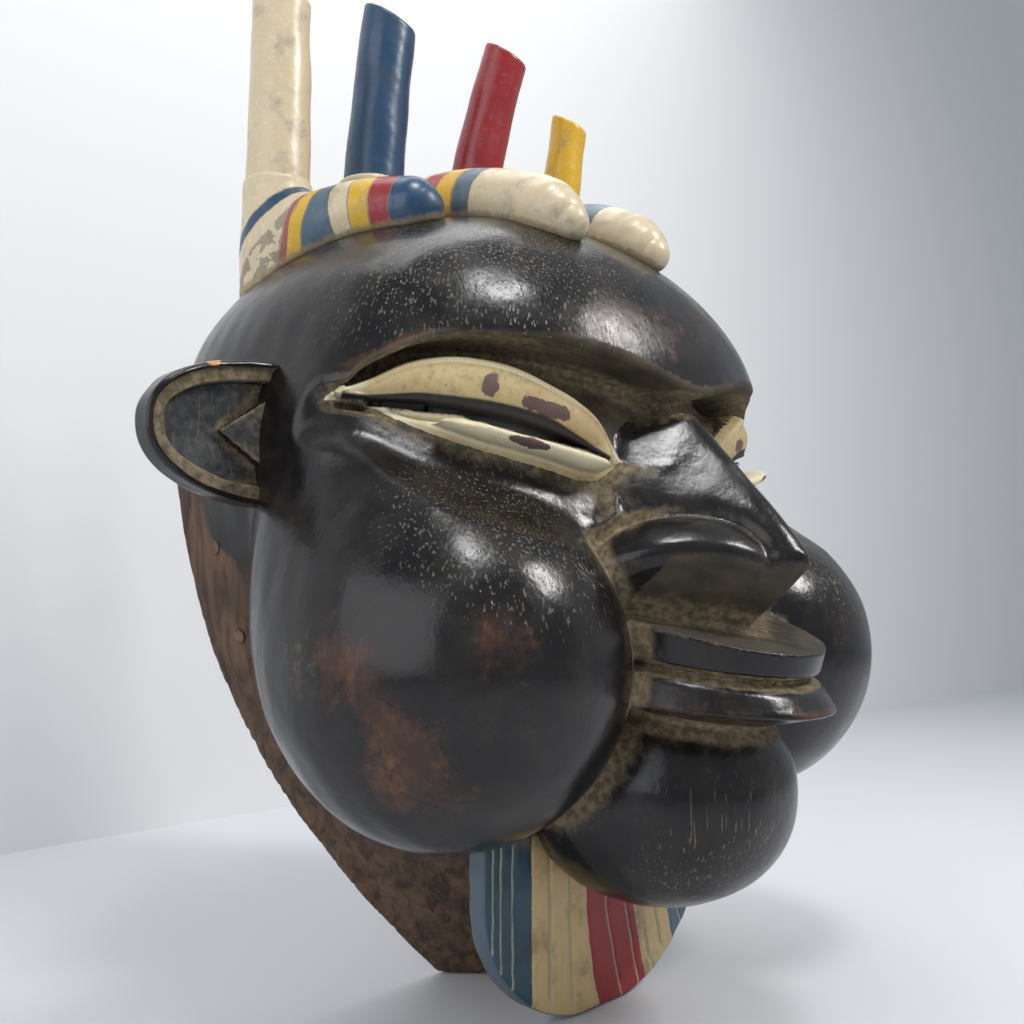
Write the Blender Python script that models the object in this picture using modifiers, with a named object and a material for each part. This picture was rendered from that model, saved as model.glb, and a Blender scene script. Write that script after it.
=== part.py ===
"""A large carved wooden mask that leans back on a flat foot and its beard.

One hollowed block carries the face. The ears, the beard, four striped serpents
and their four upright tails are carved apart and let into it with tenons,
a slot and dowels. Metres, +Z up; the face looks along -Y and +X is its left.
"""
import math

import bmesh
import bpy
from mathutils import Matrix, Vector

# Driving dimensions
U = 0.085                  # radius of a cheek ball: every carved size is a multiple of it
LEAN = math.radians(10.8)  # how far the rim's plane leans back from upright
GAP = 0.0004               # clearance left between two pieces that touch
WALL = 0.24 * U            # thickness of the hollowed wall at the rim
PEG_RADIUS = 0.0042
DOWEL_RADIUS = 0.0050
TENON_RADIUS = 0.0100
VOXEL = 0.0055             # grid of the carved block's surface
CARVED_SHARE = 0.13        # share of the block's faces that its cut mesh keeps

# Rim outline, in the leaning plane
RIM_HALF_WIDTH = 2.10 * U
RIM_CENTRE = 3.30 * U
RIM_TOP = 1.80 * U
FOOT_HALF_WIDTH = 0.25 * U
FOOT_DEPTH = 0.15 * U
FOOT_DROP = 0.16 * U       # the rim is carved this far lower, then cut level
RIM_POWER = 2.0
WALL_DEPTH = 1.60 * U
WALL_FRONT_SCALE = 0.76

# The block's rounded masses: centre and half-sizes
CRANIUM = ((0, 0.15, 3.57), (2.10, 2.04, 1.67))
MIDFACE = ((0, -0.50, 2.60), (1.55, 1.25, 1.55))
TEMPLE = ((1.20, -0.72, 2.88), (0.95, 0.93, 1.15))
CHEEK = ((1.38, -1.16, 2.19), (1.0, 1.0, 1.0))
CHIN = ((0, -1.56, 1.41), (0.84, 0.87, 0.67))
EYE = ((1.19, -1.08, 3.55), (0.82, 0.37, 0.25))
EYE_SLANT = math.radians(12)
EYE_TURN = math.radians(28)
SLIT_HALF = (0.40, 0.9, 0.038)

# Crest: (x, y) of each serpent's rear and front end, its radius, then its tail's
# radius, height and how far its top leans to the left and forward
SERPENTS = (
    {"rear": (-1.41, 0.68), "front": (-1.00, -0.60), "radius": 0.25,
     "tail": 0.200, "top": 6.98, "lean": (0.00, 0.00)},
    {"rear": (-0.47, 0.79), "front": (-0.42, -1.16), "radius": 0.26,
     "tail": 0.220, "top": 7.13, "lean": (0.05, 0.19)},
    {"rear": (0.47, 0.79), "front": (0.42, -1.16), "radius": 0.26,
     "tail": 0.205, "top": 7.10, "lean": (0.10, 0.50)},
    {"rear": (1.41, 0.68), "front": (1.00, -0.60), "radius": 0.25,
     "tail": 0.175, "top": 6.85, "lean": (0.00, 0.27)},
)
TAIL_COLOURS = ("cream_paint", "blue_paint", "red_paint", "yellow_paint")

EAR_ROOT = 2.05 * U
EAR_REACH = 0.76 * U
EAR_HALF_HEIGHT = 0.39 * U
EAR_Y = -0.31 * U
EAR_Z = 3.49 * U
EAR_THICKNESS = 0.17 * U

BEARD_HALF_WIDTH = 0.98 * U
BEARD_Y = -1.04 * U
BEARD_THICKNESS = 0.15 * U
BEARD_TOP = 1.14 * U
BEARD_ARC_CENTRE = 0.80 * U
BEARD_DROP = 0.03 * U      # the beard's arc is carved this far lower, then cut level
RIM_PEG_HEIGHTS = (2.28 * U, 2.86 * U)

COLOURS = {
    "dark_wood": ((0.035, 0.028, 0.026), 0.42),
    "bare_wood": ((0.16, 0.095, 0.06), 0.70),
    "cream_paint": ((0.62, 0.50, 0.31), 0.55),
    "blue_paint": ((0.03, 0.11, 0.20), 0.45),
    "red_paint": ((0.38, 0.035, 0.035), 0.45),
    "yellow_paint": ((0.66, 0.40, 0.03), 0.45),
}


def clear_scene():
    for old in list(bpy.data.objects):
        bpy.data.objects.remove(old)


def collection(name):
    made = bpy.data.collections.new(name)
    bpy.context.scene.collection.children.link(made)
    return made


def material(name):
    colour, roughness = COLOURS[name]
    made = bpy.data.materials.get(name)
    if made is None:
        made = bpy.data.materials.new(name)
        made.use_nodes = True
        shader = made.node_tree.nodes["Principled BSDF"]
        shader.inputs["Base Color"].default_value = (*colour, 1)
        shader.inputs["Roughness"].default_value = roughness
        shader.inputs["Metallic"].default_value = 0
        made.diffuse_color = (*colour, 1)
    return made


def units(point):
    return Vector(point) * U


def leaned(x, depth, height):
    """A point given in the rim's leaning frame: depth behind the rim plane, height along it."""
    turn = Matrix.Rotation(-LEAN, 3, "X")
    return turn @ Vector((x, depth, height)) + Vector((0, FOOT_DEPTH / 2, 0))


def finished(name, shape, home, paint=None):
    """Turns a bmesh into a named object in a collection."""
    bmesh.ops.recalc_face_normals(shape, faces=shape.faces)
    mesh = bpy.data.meshes.new(name)
    shape.to_mesh(mesh)
    shape.free()
    made = bpy.data.objects.new(name, mesh)
    home.objects.link(made)
    if paint:
        mesh.materials.append(material(paint))
    if home.name == "cutters":
        made.hide_render = True
        made.display_type = "WIRE"
    return made


def add_ball(shape, centre, radii, turn=None, segments=32, rings=18):
    matrix = Matrix.Translation(centre) @ (turn or Matrix()) @ Matrix.Diagonal((*radii, 1))
    bmesh.ops.create_uvsphere(shape, u_segments=segments, v_segments=rings, radius=1, matrix=matrix)


def add_rod(shape, start, end, radius, sides=16, end_radius=None):
    along = end - start
    matrix = Matrix.Translation((start + end) / 2) @ along.to_track_quat("Z", "Y").to_matrix().to_4x4()
    bmesh.ops.create_cone(
        shape, cap_ends=True, segments=sides, radius1=radius,
        radius2=radius if end_radius is None else end_radius, depth=along.length, matrix=matrix,
    )


def add_box(shape, low, high, turn=None):
    low, high = Vector(low), Vector(high)
    size = high - low
    matrix = (turn or Matrix()) @ Matrix.Translation((low + high) / 2) @ Matrix.Diagonal((*size, 1))
    bmesh.ops.create_cube(shape, size=1, matrix=matrix)


def add_hull(shape, points):
    corners = [shape.verts.new(point) for point in points]
    made = bmesh.ops.convex_hull(shape, input=corners)
    bmesh.ops.delete(shape, geom=made["geom_interior"], context="VERTS")


def add_loft(shape, sections):
    """Bridges rings of points that have the same count, and closes both ends."""
    rings = [[shape.verts.new(point) for point in section] for section in sections]
    for ring, following in zip(rings, rings[1:]):
        for k, corner in enumerate(ring):
            nxt = (k + 1) % len(ring)
            shape.faces.new((corner, ring[nxt], following[nxt], following[k]))
    shape.faces.new(rings[0])
    shape.faces.new(rings[-1])


def cut(target, cutter, operation="DIFFERENCE"):
    modifier = target.modifiers.new(f"{operation.lower()}_{cutter.name}", "BOOLEAN")
    modifier.object = cutter
    modifier.operation = operation
    modifier.solver = "EXACT"


def rim_outline(inset=0.0, scale=1.0, steps=14):
    """(x, height) around the egg-shaped rim, anticlockwise from the foot's right corner."""
    width, foot = RIM_HALF_WIDTH - inset, FOOT_HALF_WIDTH - inset * 0.6
    low, top = -FOOT_DROP + inset, RIM_TOP - inset
    side = []
    for k in range(steps):
        share = 1 - k / steps
        x = width * (1 - (1 - foot / width) * share**RIM_POWER)
        side.append((x, low + (RIM_CENTRE - low) * (1 - share)))
    for k in range(steps):
        angle = math.pi / 2 * k / steps
        side.append((width * math.cos(angle), RIM_CENTRE + top * math.sin(angle)))
    around = side + [(0, RIM_CENTRE + top)] + [(-x, z) for x, z in reversed(side)]
    return [(x * scale, RIM_CENTRE + (z - RIM_CENTRE) * scale) for x, z in around]


def rim_section(depth, inset=0.0, scale=1.0):
    return [leaned(x, depth, height) for x, height in rim_outline(inset, scale)]


def eye_turn(side):
    """How an eye lies: slanted down to the nose, and turned with the face's curve."""
    return Matrix.Rotation(side * EYE_TURN, 4, "Z") @ Matrix.Rotation(-side * EYE_SLANT, 4, "Y")


def mirrored(centre, side):
    return units((centre[0] * side, centre[1], centre[2]))


def add_nose(shape):
    """A faceted wedge: sharp ridge, flat sides, flared wings and a leaf-shaped underside."""
    ridge = [(0, -1.74, 3.76), (0, -2.27, 3.24), (0, -2.63, 2.77), (0, -2.60, 2.69), (0, -2.20, 2.44)]
    flank = ((0.40, -1.40, 3.72), (0.58, -1.50, 3.20), (0.64, -1.66, 2.62),
             (0.59, -2.12, 2.84), (0.55, -2.10, 2.64), (0.45, -1.50, 2.45))
    sides = [(s * x, y, z) for s in (-1, 1) for x, y, z in flank]
    add_hull(shape, [units(point) for point in ridge + sides])


def lip_edge(reach, front_height, slope, steps=32):
    """A ring round one edge of a lip: an oval whose plane rises to the back."""
    ring = []
    for k in range(steps):
        angle = 2 * math.pi * k / steps
        x, y = 0.88 * reach * math.cos(angle), -1.70 + reach * math.sin(angle)
        ring.append(units((x, y, front_height + (y + 1.70 + reach) * slope)))
    return ring


def add_lips(shape):
    """Two shelves that jut forward, with a V line between them."""
    add_loft(shape, [lip_edge(0.84, 2.04, 0.17), lip_edge(0.91, 2.25, 0.38)])
    add_loft(shape, [lip_edge(0.94, 1.905, 0.10), lip_edge(0.84, 2.09, 0.17)])


def carved_block():
    """The block before hollowing: rounded masses fused, with the brow left as a ledge."""
    shape = bmesh.new()
    add_ball(shape, units(CRANIUM[0]), units(CRANIUM[1]), segments=48, rings=28)
    add_ball(shape, units(MIDFACE[0]), units(MIDFACE[1]))
    add_ball(shape, units(CHIN[0]), units(CHIN[1]))
    for side in (-1, 1):
        add_ball(shape, mirrored(CHEEK[0], side), units(CHEEK[1]))
        add_ball(shape, mirrored(TEMPLE[0], side), units(TEMPLE[1]))
    add_lips(shape)
    add_loft(shape, [rim_section(0.12 * U), rim_section(-WALL_DEPTH, scale=WALL_FRONT_SCALE)])
    return shape


def brow_recess(side, home):
    """What the carver takes away between one arc of the brow and the lower eyelid."""
    arc = []
    for k in range(11):
        angle = math.pi * k / 10
        arc.append((side * (0.93 + 1.03 * math.cos(angle)), 3.62 + 0.40 * math.sin(angle) ** 0.8))
    corners = arc + [(side * 0.52, 3.30), (side * -0.10, 3.40)]
    shape = bmesh.new()
    add_hull(shape, [units((x, y, z)) for x, z in corners for y in (-3.0, -0.2)])
    return finished(f"brow_recess_{'left' if side > 0 else 'right'}", shape, home)


def socket_floor(home):
    shape = bmesh.new()
    add_ball(shape, units((0, 0.10, 3.05)), units((2.02, 1.72, 1.60)), segments=40, rings=24)
    return finished("recess_floor", shape, home)


def bowl(home):
    """The hollow behind the face, with a lobe in each cheek."""
    shape = bmesh.new()
    depth, power, steps = 1.95 * U, 2.6, 7
    sections = [rim_section(0.3 * U, WALL)]
    for k in range(steps):
        share = math.sin(math.pi / 2 * k / steps)
        scale = (1 - share**power) ** (1 / power)
        sections.append(rim_section(-depth * share, WALL, scale))
    add_loft(shape, sections)
    made = finished("bowl", shape, home)
    lobes = bmesh.new()
    for side in (-1, 1):
        add_ball(lobes, mirrored((1.28, -1.02, 2.22), side), units((0.66, 0.72, 0.66)), segments=20, rings=12)
    cut(made, finished("cheek_lobes", lobes, home), "UNION")
    return made


def eye_slits(home):
    shape = bmesh.new()
    for side in (-1, 1):
        centre = mirrored((1.13, -1.35, 3.53), side)
        half = units(SLIT_HALF)
        turn = Matrix.Translation(centre) @ eye_turn(side)
        corners = [(sx * half.x * (0.25 if sz else 1), y * half.y, sz * half.z)
                   for sx in (-1, 1) for y in (-1, 1) for sz in (-1, 0, 1)]
        add_hull(shape, [turn @ Vector(point) for point in corners])
    return finished("eye_slits", shape, home)


def eyelids(home):
    shape = bmesh.new()
    for side in (-1, 1):
        add_ball(shape, mirrored(EYE[0], side), units(EYE[1]), eye_turn(side), 24, 12)
    return finished("eyelids", shape, home)


def outer_trims(home):
    """Everything behind the rim's plane and below the level of the foot."""
    reach = 8 * U
    behind = bmesh.new()
    corner = leaned(0, 0, 0)
    turn = Matrix.Translation(corner) @ Matrix.Rotation(-LEAN, 4, "X")
    add_box(behind, (-reach, 0, -reach), (reach, reach, reach), turn)
    below = bmesh.new()
    add_box(below, (-reach, -reach, -reach), (reach, reach, 0))
    return finished("behind_rim", behind, home), finished("below_foot", below, home)


def dome_height(x, y, clearance=0.0):
    """Height of the crown's surface over a point, raised by a clearance."""
    centre, radii = units(CRANIUM[0]), units(CRANIUM[1])
    spread = ((x - centre.x) / radii.x) ** 2 + ((y - centre.y) / radii.y) ** 2
    return centre.z + (radii.z + clearance) * math.sqrt(max(0.0, 1 - spread))


def dome_normal(x, y):
    centre, radii = units(CRANIUM[0]), units(CRANIUM[1])
    z = dome_height(x, y)
    return Vector(((x - centre.x) / radii.x**2, (y - centre.y) / radii.y**2, (z - centre.z) / radii.z**2)).normalized()


def on_dome(x, y, lift):
    return Vector((x, y, dome_height(x, y))) + dome_normal(x, y) * lift


def tube(name, points, radii, home, sides=3, paint=None):
    """A curve swept along points with a radius at each, made into a welded mesh."""
    line = bpy.data.curves.new(name, "CURVE")
    line.dimensions = "3D"
    line.bevel_depth = 1
    line.bevel_resolution = sides
    line.use_fill_caps = True
    spline = line.splines.new("POLY")
    spline.points.add(len(points) - 1)
    for point, place, radius in zip(spline.points, points, radii):
        point.co = (*place, 1)
        point.radius = radius
    swept = bpy.data.objects.new(name, line)
    bpy.context.scene.collection.objects.link(swept)
    graph = bpy.context.evaluated_depsgraph_get()
    mesh = bpy.data.meshes.new_from_object(swept.evaluated_get(graph))
    bpy.data.objects.remove(swept)
    shape = bmesh.new()
    shape.from_mesh(mesh)
    bmesh.ops.remove_doubles(shape, verts=shape.verts, dist=0.00005)
    return finished(name, shape, home, paint)


def serpent_path(serpent, steps=10):
    """Points and radii from the blunt rear, over the crown, to the rounded head."""
    rear, front = Vector(serpent["rear"]) * U, Vector(serpent["front"]) * U
    radius = serpent["radius"] * U
    points, radii = [], []
    for k in range(steps + 1):
        share = math.sin(math.pi / 2 * k / steps)
        place = rear.lerp(front, share)
        girth = radius * (1.16 - 0.30 * share)
        points.append(on_dome(place.x, place.y, 0.35 * girth))
        end = max(0.0, (share - 0.84) / 0.16)
        radii.append(girth * math.sqrt(max(0.06, 1 - end * end)))
    behind = points[0] + (points[0] - points[1]).normalized() * radius * 0.95
    return [behind] + points, [radius * 1.05] + radii


def tail_path(serpent, steps=8):
    """Centre line of an upright tail, from inside the serpent to above its slanted end."""
    x, y = serpent["rear"][0] * U, serpent["rear"][1] * U
    foot = on_dome(x, y, 0.60 * serpent["radius"] * U)
    rise = serpent["top"] * U + 0.1 * U - foot.z
    points, radii = [], []
    for k in range(steps + 1):
        share = k / steps
        lean = Vector((serpent["lean"][0], -serpent["lean"][1], 0)) * share**1.6
        points.append(foot + units(lean) + Vector((0, 0, rise * share)))
        radii.append(serpent["tail"] * U * (1.06 - 0.12 * share))
    return points, radii


def slanted_end(name, top, home):
    """A block above a tail's top, tipped so that it saws the end off on a slant."""
    shape = bmesh.new()
    turn = Matrix.Translation(top) @ Matrix.Rotation(math.radians(28), 4, "X") @ Matrix.Rotation(0.2, 4, "Y")
    add_box(shape, (-0.6 * U, -0.6 * U, 0), (0.6 * U, 0.6 * U, 0.6 * U), turn)
    return finished(name, shape, home)


def build_crest(number, serpent, parts, cutters, body):
    """One serpent with its tail, tenon, socket and two dowels."""
    points, radii = serpent_path(serpent)
    name = f"crest_serpent_{number}"
    snake = tube(name, points, radii, parts, 2, "cream_paint")
    dome = bmesh.new()
    grown = units(CRANIUM[1]) + Vector((1, 1, 1)) * 0.0012
    add_ball(dome, units(CRANIUM[0]), grown, segments=48, rings=28)
    cut(snake, finished(f"dome_under_{number}", dome, cutters))

    clear = tube(f"serpent_clear_{number}", points, [r + GAP for r in radii], cutters, 2)
    path, girth = tail_path(serpent)
    tail = tube(f"crest_tail_{number}", path, girth, parts, 3, TAIL_COLOURS[number - 1])
    tip = Vector((path[-1].x, path[-1].y, serpent["top"] * U - 0.06 * U))
    cut(tail, slanted_end(f"saw_{number}", tip, cutters))
    cut(tail, clear)
    grown_dome = bmesh.new()
    add_ball(grown_dome, units(CRANIUM[0]), grown, segments=48, rings=28)
    cut(tail, finished(f"dome_under_tail_{number}", grown_dome, cutters))
    seat = points[1]
    reach = radii[1]
    tenon, socket = bmesh.new(), bmesh.new()
    low, high = seat - Vector((0, 0, 0.1 * reach)), seat + Vector((0, 0, 1.5 * reach))
    add_rod(tenon, low, high, TENON_RADIUS, 16)
    cut(tail, finished(f"tenon_{number}", tenon, cutters), "UNION")
    add_rod(socket, low - Vector((0, 0, GAP)), high + Vector((0, 0, 0.5 * reach)), TENON_RADIUS + GAP, 16)
    cut(snake, finished(f"socket_{number}", socket, cutters))

    holes = bmesh.new()
    for k, share in enumerate((0.30, 0.66)):
        place = (Vector(serpent["rear"]) * U).lerp(Vector(serpent["front"]) * U, share)
        foot, axis = on_dome(place.x, place.y, 0), dome_normal(place.x, place.y)
        peg = bmesh.new()
        add_rod(peg, foot - axis * 0.011, foot + axis * 0.011, DOWEL_RADIUS, 12)
        finished(f"crest_dowel_{2 * number - 1 + k}", peg, parts, "bare_wood")
        add_rod(holes, foot - axis * 0.012, foot + axis * 0.012, DOWEL_RADIUS + GAP, 12)
    drilled = finished(f"dowel_holes_{number}", holes, cutters)
    cut(snake, drilled)
    cut(body, drilled)


def ear_outline(grow=0.0, steps=20):
    """(x outward, z) of the ear: a rounded D whose straight side meets the head."""
    points = []
    for k in range(steps + 1):
        angle = math.pi * (k / steps - 0.5)
        x = (EAR_REACH + grow) * math.cos(angle) ** 0.72
        z = (EAR_HALF_HEIGHT + grow) * math.sin(angle)
        points.append((x, z))
    return points


def add_plate(shape, outline, front, back):
    """A flat plate in the XZ plane between two depths."""
    add_loft(shape, [[Vector((x, y, z)) for x, z in outline] for y in (front, back)])


def build_ear(side, name, parts, cutters, body):
    """A dished D with a raised rim and a pointed tragus, on a tenon let into the head."""
    def placed(points, y):
        return [Vector((side * (EAR_ROOT + x), y, EAR_Z + z)) for x, z in points]

    shape = bmesh.new()
    front, back = EAR_Y - EAR_THICKNESS / 2, EAR_Y + EAR_THICKNESS / 2
    add_loft(shape, [placed(ear_outline(), front), placed(ear_outline(), back)])
    ear = finished(name, shape, parts, "dark_wood")
    dish = bmesh.new()
    inner = [(max(x, 0.04 * U), z) for x, z in ear_outline(-0.09 * U)]
    add_loft(dish, [placed(inner, front - 0.1 * U), placed(inner, front + 0.06 * U)])
    cut(ear, finished(f"{name}_dish", dish, cutters))
    tragus = bmesh.new()
    tip = [(0.30 * U, 0.0, front + 0.03 * U)]
    base = [(0.02 * U, s * 0.20 * U, front + 0.03 * U) for s in (-1, 1)]
    crest = [(0.02 * U, 0.0, front - 0.05 * U), (0.02 * U, 0.0, back - 0.03 * U)]
    add_hull(tragus, [Vector((side * (EAR_ROOT + x), y, EAR_Z + z)) for x, z, y in tip + base + crest])
    cut(ear, finished(f"{name}_tragus", tragus, cutters), "UNION")
    for grow, target, operation in ((0, ear, "UNION"), (GAP, body, "DIFFERENCE")):
        stub = bmesh.new()
        xs = sorted((side * (EAR_ROOT + 0.05 * U), side * (EAR_ROOT - 0.16 * U - grow)))
        add_box(stub, (xs[0], EAR_Y - 0.06 * U - grow, EAR_Z - 0.18 * U - grow),
                (xs[1], EAR_Y + 0.06 * U + grow, EAR_Z + 0.18 * U + grow))
        cut(target, finished(f"{name}_tenon_{operation.lower()}", stub, cutters), operation)
    clear = bmesh.new()
    grown = [(x, z) for x, z in ear_outline(GAP)]
    add_loft(clear, [placed([(x - 0.001, z) for x, z in grown], front - GAP),
                     placed([(x - 0.001, z) for x, z in grown], back + GAP)])
    cut(body, finished(f"{name}_clear", clear, cutters))


def beard_outline(grow=0.0, steps=18):
    """(x, z) of the beard plate: straight sides above, a round lower edge with a flat tip."""
    width, top = BEARD_HALF_WIDTH + grow, BEARD_TOP + grow
    points = [(-width, top), (width, top)]
    for k in range(steps + 1):
        angle = math.pi * k / steps
        z = BEARD_ARC_CENTRE - (BEARD_ARC_CENTRE + BEARD_DROP + grow) * math.sin(angle) ** 0.92
        points.append((width * math.cos(angle), z))
    return [(x, max(z, -grow)) for x, z in points]


def build_beard(parts, cutters, body):
    """The beard plate stands in a slot under the chin and is held by two dowels."""
    front, back = BEARD_Y - BEARD_THICKNESS / 2, BEARD_Y + BEARD_THICKNESS / 2
    shape = bmesh.new()
    add_plate(shape, beard_outline(), front, back)
    beard = finished("beard_plate", shape, parts, "cream_paint")
    slot = bmesh.new()
    add_plate(slot, beard_outline(GAP), front - GAP, back + GAP)
    cut(body, finished("beard_slot", slot, cutters))
    holes = bmesh.new()
    for k, side in enumerate((-1, 1)):
        start = Vector((side * 0.42 * U, back - 0.4 * BEARD_THICKNESS, 0.98 * U))
        end = start + Vector((0, -0.012 - 0.6 * BEARD_THICKNESS, 0))
        peg = bmesh.new()
        add_rod(peg, start, end, PEG_RADIUS, 12)
        finished(f"beard_dowel_{k + 1}", peg, parts, "bare_wood")
        more = (start - end).normalized() * GAP
        add_rod(holes, start + more, end - more, PEG_RADIUS + GAP, 12)
    drilled = finished("beard_holes", holes, cutters)
    cut(beard, drilled)
    cut(body, drilled)


def rim_peg_place(side, height):
    """A point on the side wall near the rim, and the wall's outward direction there."""
    low = -FOOT_DROP
    share = 1 - (height - low) / (RIM_CENTRE - low)
    half_width = RIM_HALF_WIDTH * (1 - (1 - FOOT_HALF_WIDTH / RIM_HALF_WIDTH) * share**RIM_POWER)
    inward = 1 - (1 - WALL_FRONT_SCALE) * 0.26 * U / WALL_DEPTH
    place = leaned(side * half_width * inward, -0.26 * U, RIM_CENTRE + (height - RIM_CENTRE) * inward)
    slope = (1 - FOOT_HALF_WIDTH / RIM_HALF_WIDTH) * RIM_POWER * share ** (RIM_POWER - 1)
    outward = leaned(side, -0.1, -slope * RIM_HALF_WIDTH / (RIM_CENTRE - low)) - leaned(0, 0, 0)
    return place, outward.normalized()


def build_rim_pegs(parts, cutters, body):
    """Short pegs through the side wall, which held the costume."""
    holes = bmesh.new()
    number = 0
    for side in (-1, 1):
        for height in RIM_PEG_HEIGHTS:
            number += 1
            place, outward = rim_peg_place(side, height)
            peg = bmesh.new()
            add_rod(peg, place - outward * WALL * 1.25, place + outward * 0.0012, PEG_RADIUS, 12)
            finished(f"rim_peg_{number}", peg, parts, "bare_wood")
            add_rod(holes, place - outward * WALL * 1.9, place + outward * 0.012, PEG_RADIUS + GAP, 12)
    cut(body, finished("rim_peg_holes", holes, cutters))


def build_body(parts, cutters):
    """The carved block: fused, smoothed, thinned to fewer faces, then cut."""
    body = finished("mask_body", carved_block(), parts, "dark_wood")
    fuse = body.modifiers.new("fuse", "REMESH")
    fuse.mode = "VOXEL"
    fuse.voxel_size = VOXEL
    soften = body.modifiers.new("soften", "SMOOTH")
    soften.factor = 0.5
    soften.iterations = 2
    thin = body.modifiers.new("thin", "DECIMATE")
    thin.ratio = CARVED_SHARE
    for side in (-1, 1):
        recess = brow_recess(side, cutters)
        cut(recess, socket_floor(cutters))
        cut(body, recess)
    nose = bmesh.new()
    add_nose(nose)
    cut(body, finished("nose", nose, cutters), "UNION")
    cut(body, eyelids(cutters), "UNION")
    cut(body, bowl(cutters))
    cut(body, eye_slits(cutters))
    behind, below = outer_trims(cutters)
    cut(body, behind)
    cut(body, below)
    return body


def main():
    clear_scene()
    parts, cutters = collection("carved_mask"), collection("cutters")
    body = build_body(parts, cutters)
    for number, serpent in enumerate(SERPENTS, 1):
        build_crest(number, serpent, parts, cutters, body)
    build_ear(-1, "ear_right", parts, cutters, body)
    build_ear(1, "ear_left", parts, cutters, body)
    build_rim_pegs(parts, cutters, body)
    build_beard(parts, cutters, body)


main()
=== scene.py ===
"""A large carved wooden mask with a painted crest and beard.

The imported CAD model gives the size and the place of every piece. Each visible piece
is carved here as a field of distances, turned into a mesh near its surface only, then
moved exactly onto that surface. Points are in units U, the radius of a cheek ball:
+X is the mask's left, the face looks along -Y, +Z is up.
"""
import math

import bmesh
import bpy
import numpy as np
import openvdb
from mathutils import Matrix, Vector


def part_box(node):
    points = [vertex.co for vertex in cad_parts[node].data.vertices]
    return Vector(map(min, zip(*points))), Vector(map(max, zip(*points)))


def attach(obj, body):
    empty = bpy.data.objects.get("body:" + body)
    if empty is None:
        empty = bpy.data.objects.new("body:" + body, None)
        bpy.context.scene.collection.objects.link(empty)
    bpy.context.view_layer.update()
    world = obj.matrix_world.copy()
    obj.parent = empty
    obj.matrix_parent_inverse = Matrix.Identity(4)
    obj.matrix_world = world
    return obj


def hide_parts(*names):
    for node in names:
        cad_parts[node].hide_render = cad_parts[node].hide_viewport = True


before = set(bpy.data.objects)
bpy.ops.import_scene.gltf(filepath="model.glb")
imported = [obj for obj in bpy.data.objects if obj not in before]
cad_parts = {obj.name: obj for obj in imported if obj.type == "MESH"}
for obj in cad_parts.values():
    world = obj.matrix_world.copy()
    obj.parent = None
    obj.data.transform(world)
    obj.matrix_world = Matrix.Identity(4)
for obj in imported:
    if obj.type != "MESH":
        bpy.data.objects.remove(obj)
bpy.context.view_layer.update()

# ---- Driving values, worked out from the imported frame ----
BODY_LOW, BODY_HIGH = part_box("mask_body")
BODY_WIDTHS = 4.75                      # the body's width in units
U = (BODY_HIGH[0] - BODY_LOW[0]) / BODY_WIDTHS
LEAN = math.radians(10.8)
FOOT_HALF_DEPTH = 0.075
RIM_HALF_WIDTH, RIM_CENTRE, RIM_TOP = 2.10, 3.30, 1.80
FOOT_HALF_WIDTH, FOOT_DROP, RIM_POWER = 0.25, 0.16, 2.0
WALL, WALL_DEPTH, WALL_FRONT_SCALE = 0.24, 1.60, 0.76
BOWL_DEPTH, BOWL_POWER = 1.95, 2.6
CROWN = (0, 0.15, 3.57)
CROWN_RADII = (2.10, 2.04, 1.67)
CROWN_POWER = 2.2
EYE_CENTRE = np.array((-1.198, -1.185, 3.552))
EYE_ALONG = np.array((0.855, -0.474, -0.211))
EYE_OUT = np.array((-0.485, -0.875, 0.0))
EYE_UP = np.array((0.185, -0.102, 0.977))


# ---- Distances to simple shapes ----
def join(a, b, soft):
    """Union of two distances, blended over a width."""
    h = np.maximum(soft - np.abs(a - b), 0)
    return np.minimum(a, b) - h * h * (0.25 / soft)


def common(a, b, soft):
    return -join(-a, -b, soft)


def egg(p, centre, radii, power=2.0):
    """Distance to an ellipsoid, or with a power above 2 to a boxier one."""
    q = [np.abs(p[i] - centre[i]) / radii[i] for i in range(3)]
    if power == 2.0:
        size = np.sqrt(q[0] ** 2 + q[1] ** 2 + q[2] ** 2) + 1e-6
        slope = np.sqrt(sum((q[i] / radii[i]) ** 2 for i in range(3))) / size + 1e-6
    else:
        size = (q[0] ** power + q[1] ** power + q[2] ** power) ** (1 / power) + 1e-6
        slope = np.sqrt(sum(((q[i] / size) ** (power - 1) / radii[i]) ** 2 for i in range(3))) + 1e-6
    return (size - 1) / slope


def oval(x, y, rx, ry):
    """Distance to an ellipse in plan."""
    size = np.sqrt((x / rx) ** 2 + (y / ry) ** 2) + 1e-6
    return (size - 1) * size / (np.sqrt((x / rx**2) ** 2 + (y / ry**2) ** 2) + 1e-6)


def curve(t, pairs):
    """A smooth line through (t, value) pairs."""
    ts, values = np.array(pairs).T
    slopes = np.gradient(values, ts)
    t = np.clip(t, ts[0], ts[-1])
    k = np.clip(np.searchsorted(ts, t) - 1, 0, len(ts) - 2)
    width = ts[k + 1] - ts[k]
    s = (t - ts[k]) / width
    a, b = 2 * s**3 - 3 * s**2 + 1, s**3 - 2 * s**2 + s
    c, d = 3 * s**2 - 2 * s**3, s**3 - s**2
    here, ahead = a * values[k] + b * width * slopes[k], c * values[k + 1] + d * width * slopes[k + 1]
    return (here + ahead).astype(np.float32)


def unit(t):
    return np.clip(t, 0, 1)


def step(t, low, high):
    s = unit((t - low) / (high - low))
    return s * s * (3 - 2 * s)


def near(p, centre, radius):
    """1 at a point, falling to 0 at a radius from it."""
    return 1 - step(np.sqrt(sum((p[i] - centre[i]) ** 2 for i in range(3))), 0, radius)


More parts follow.
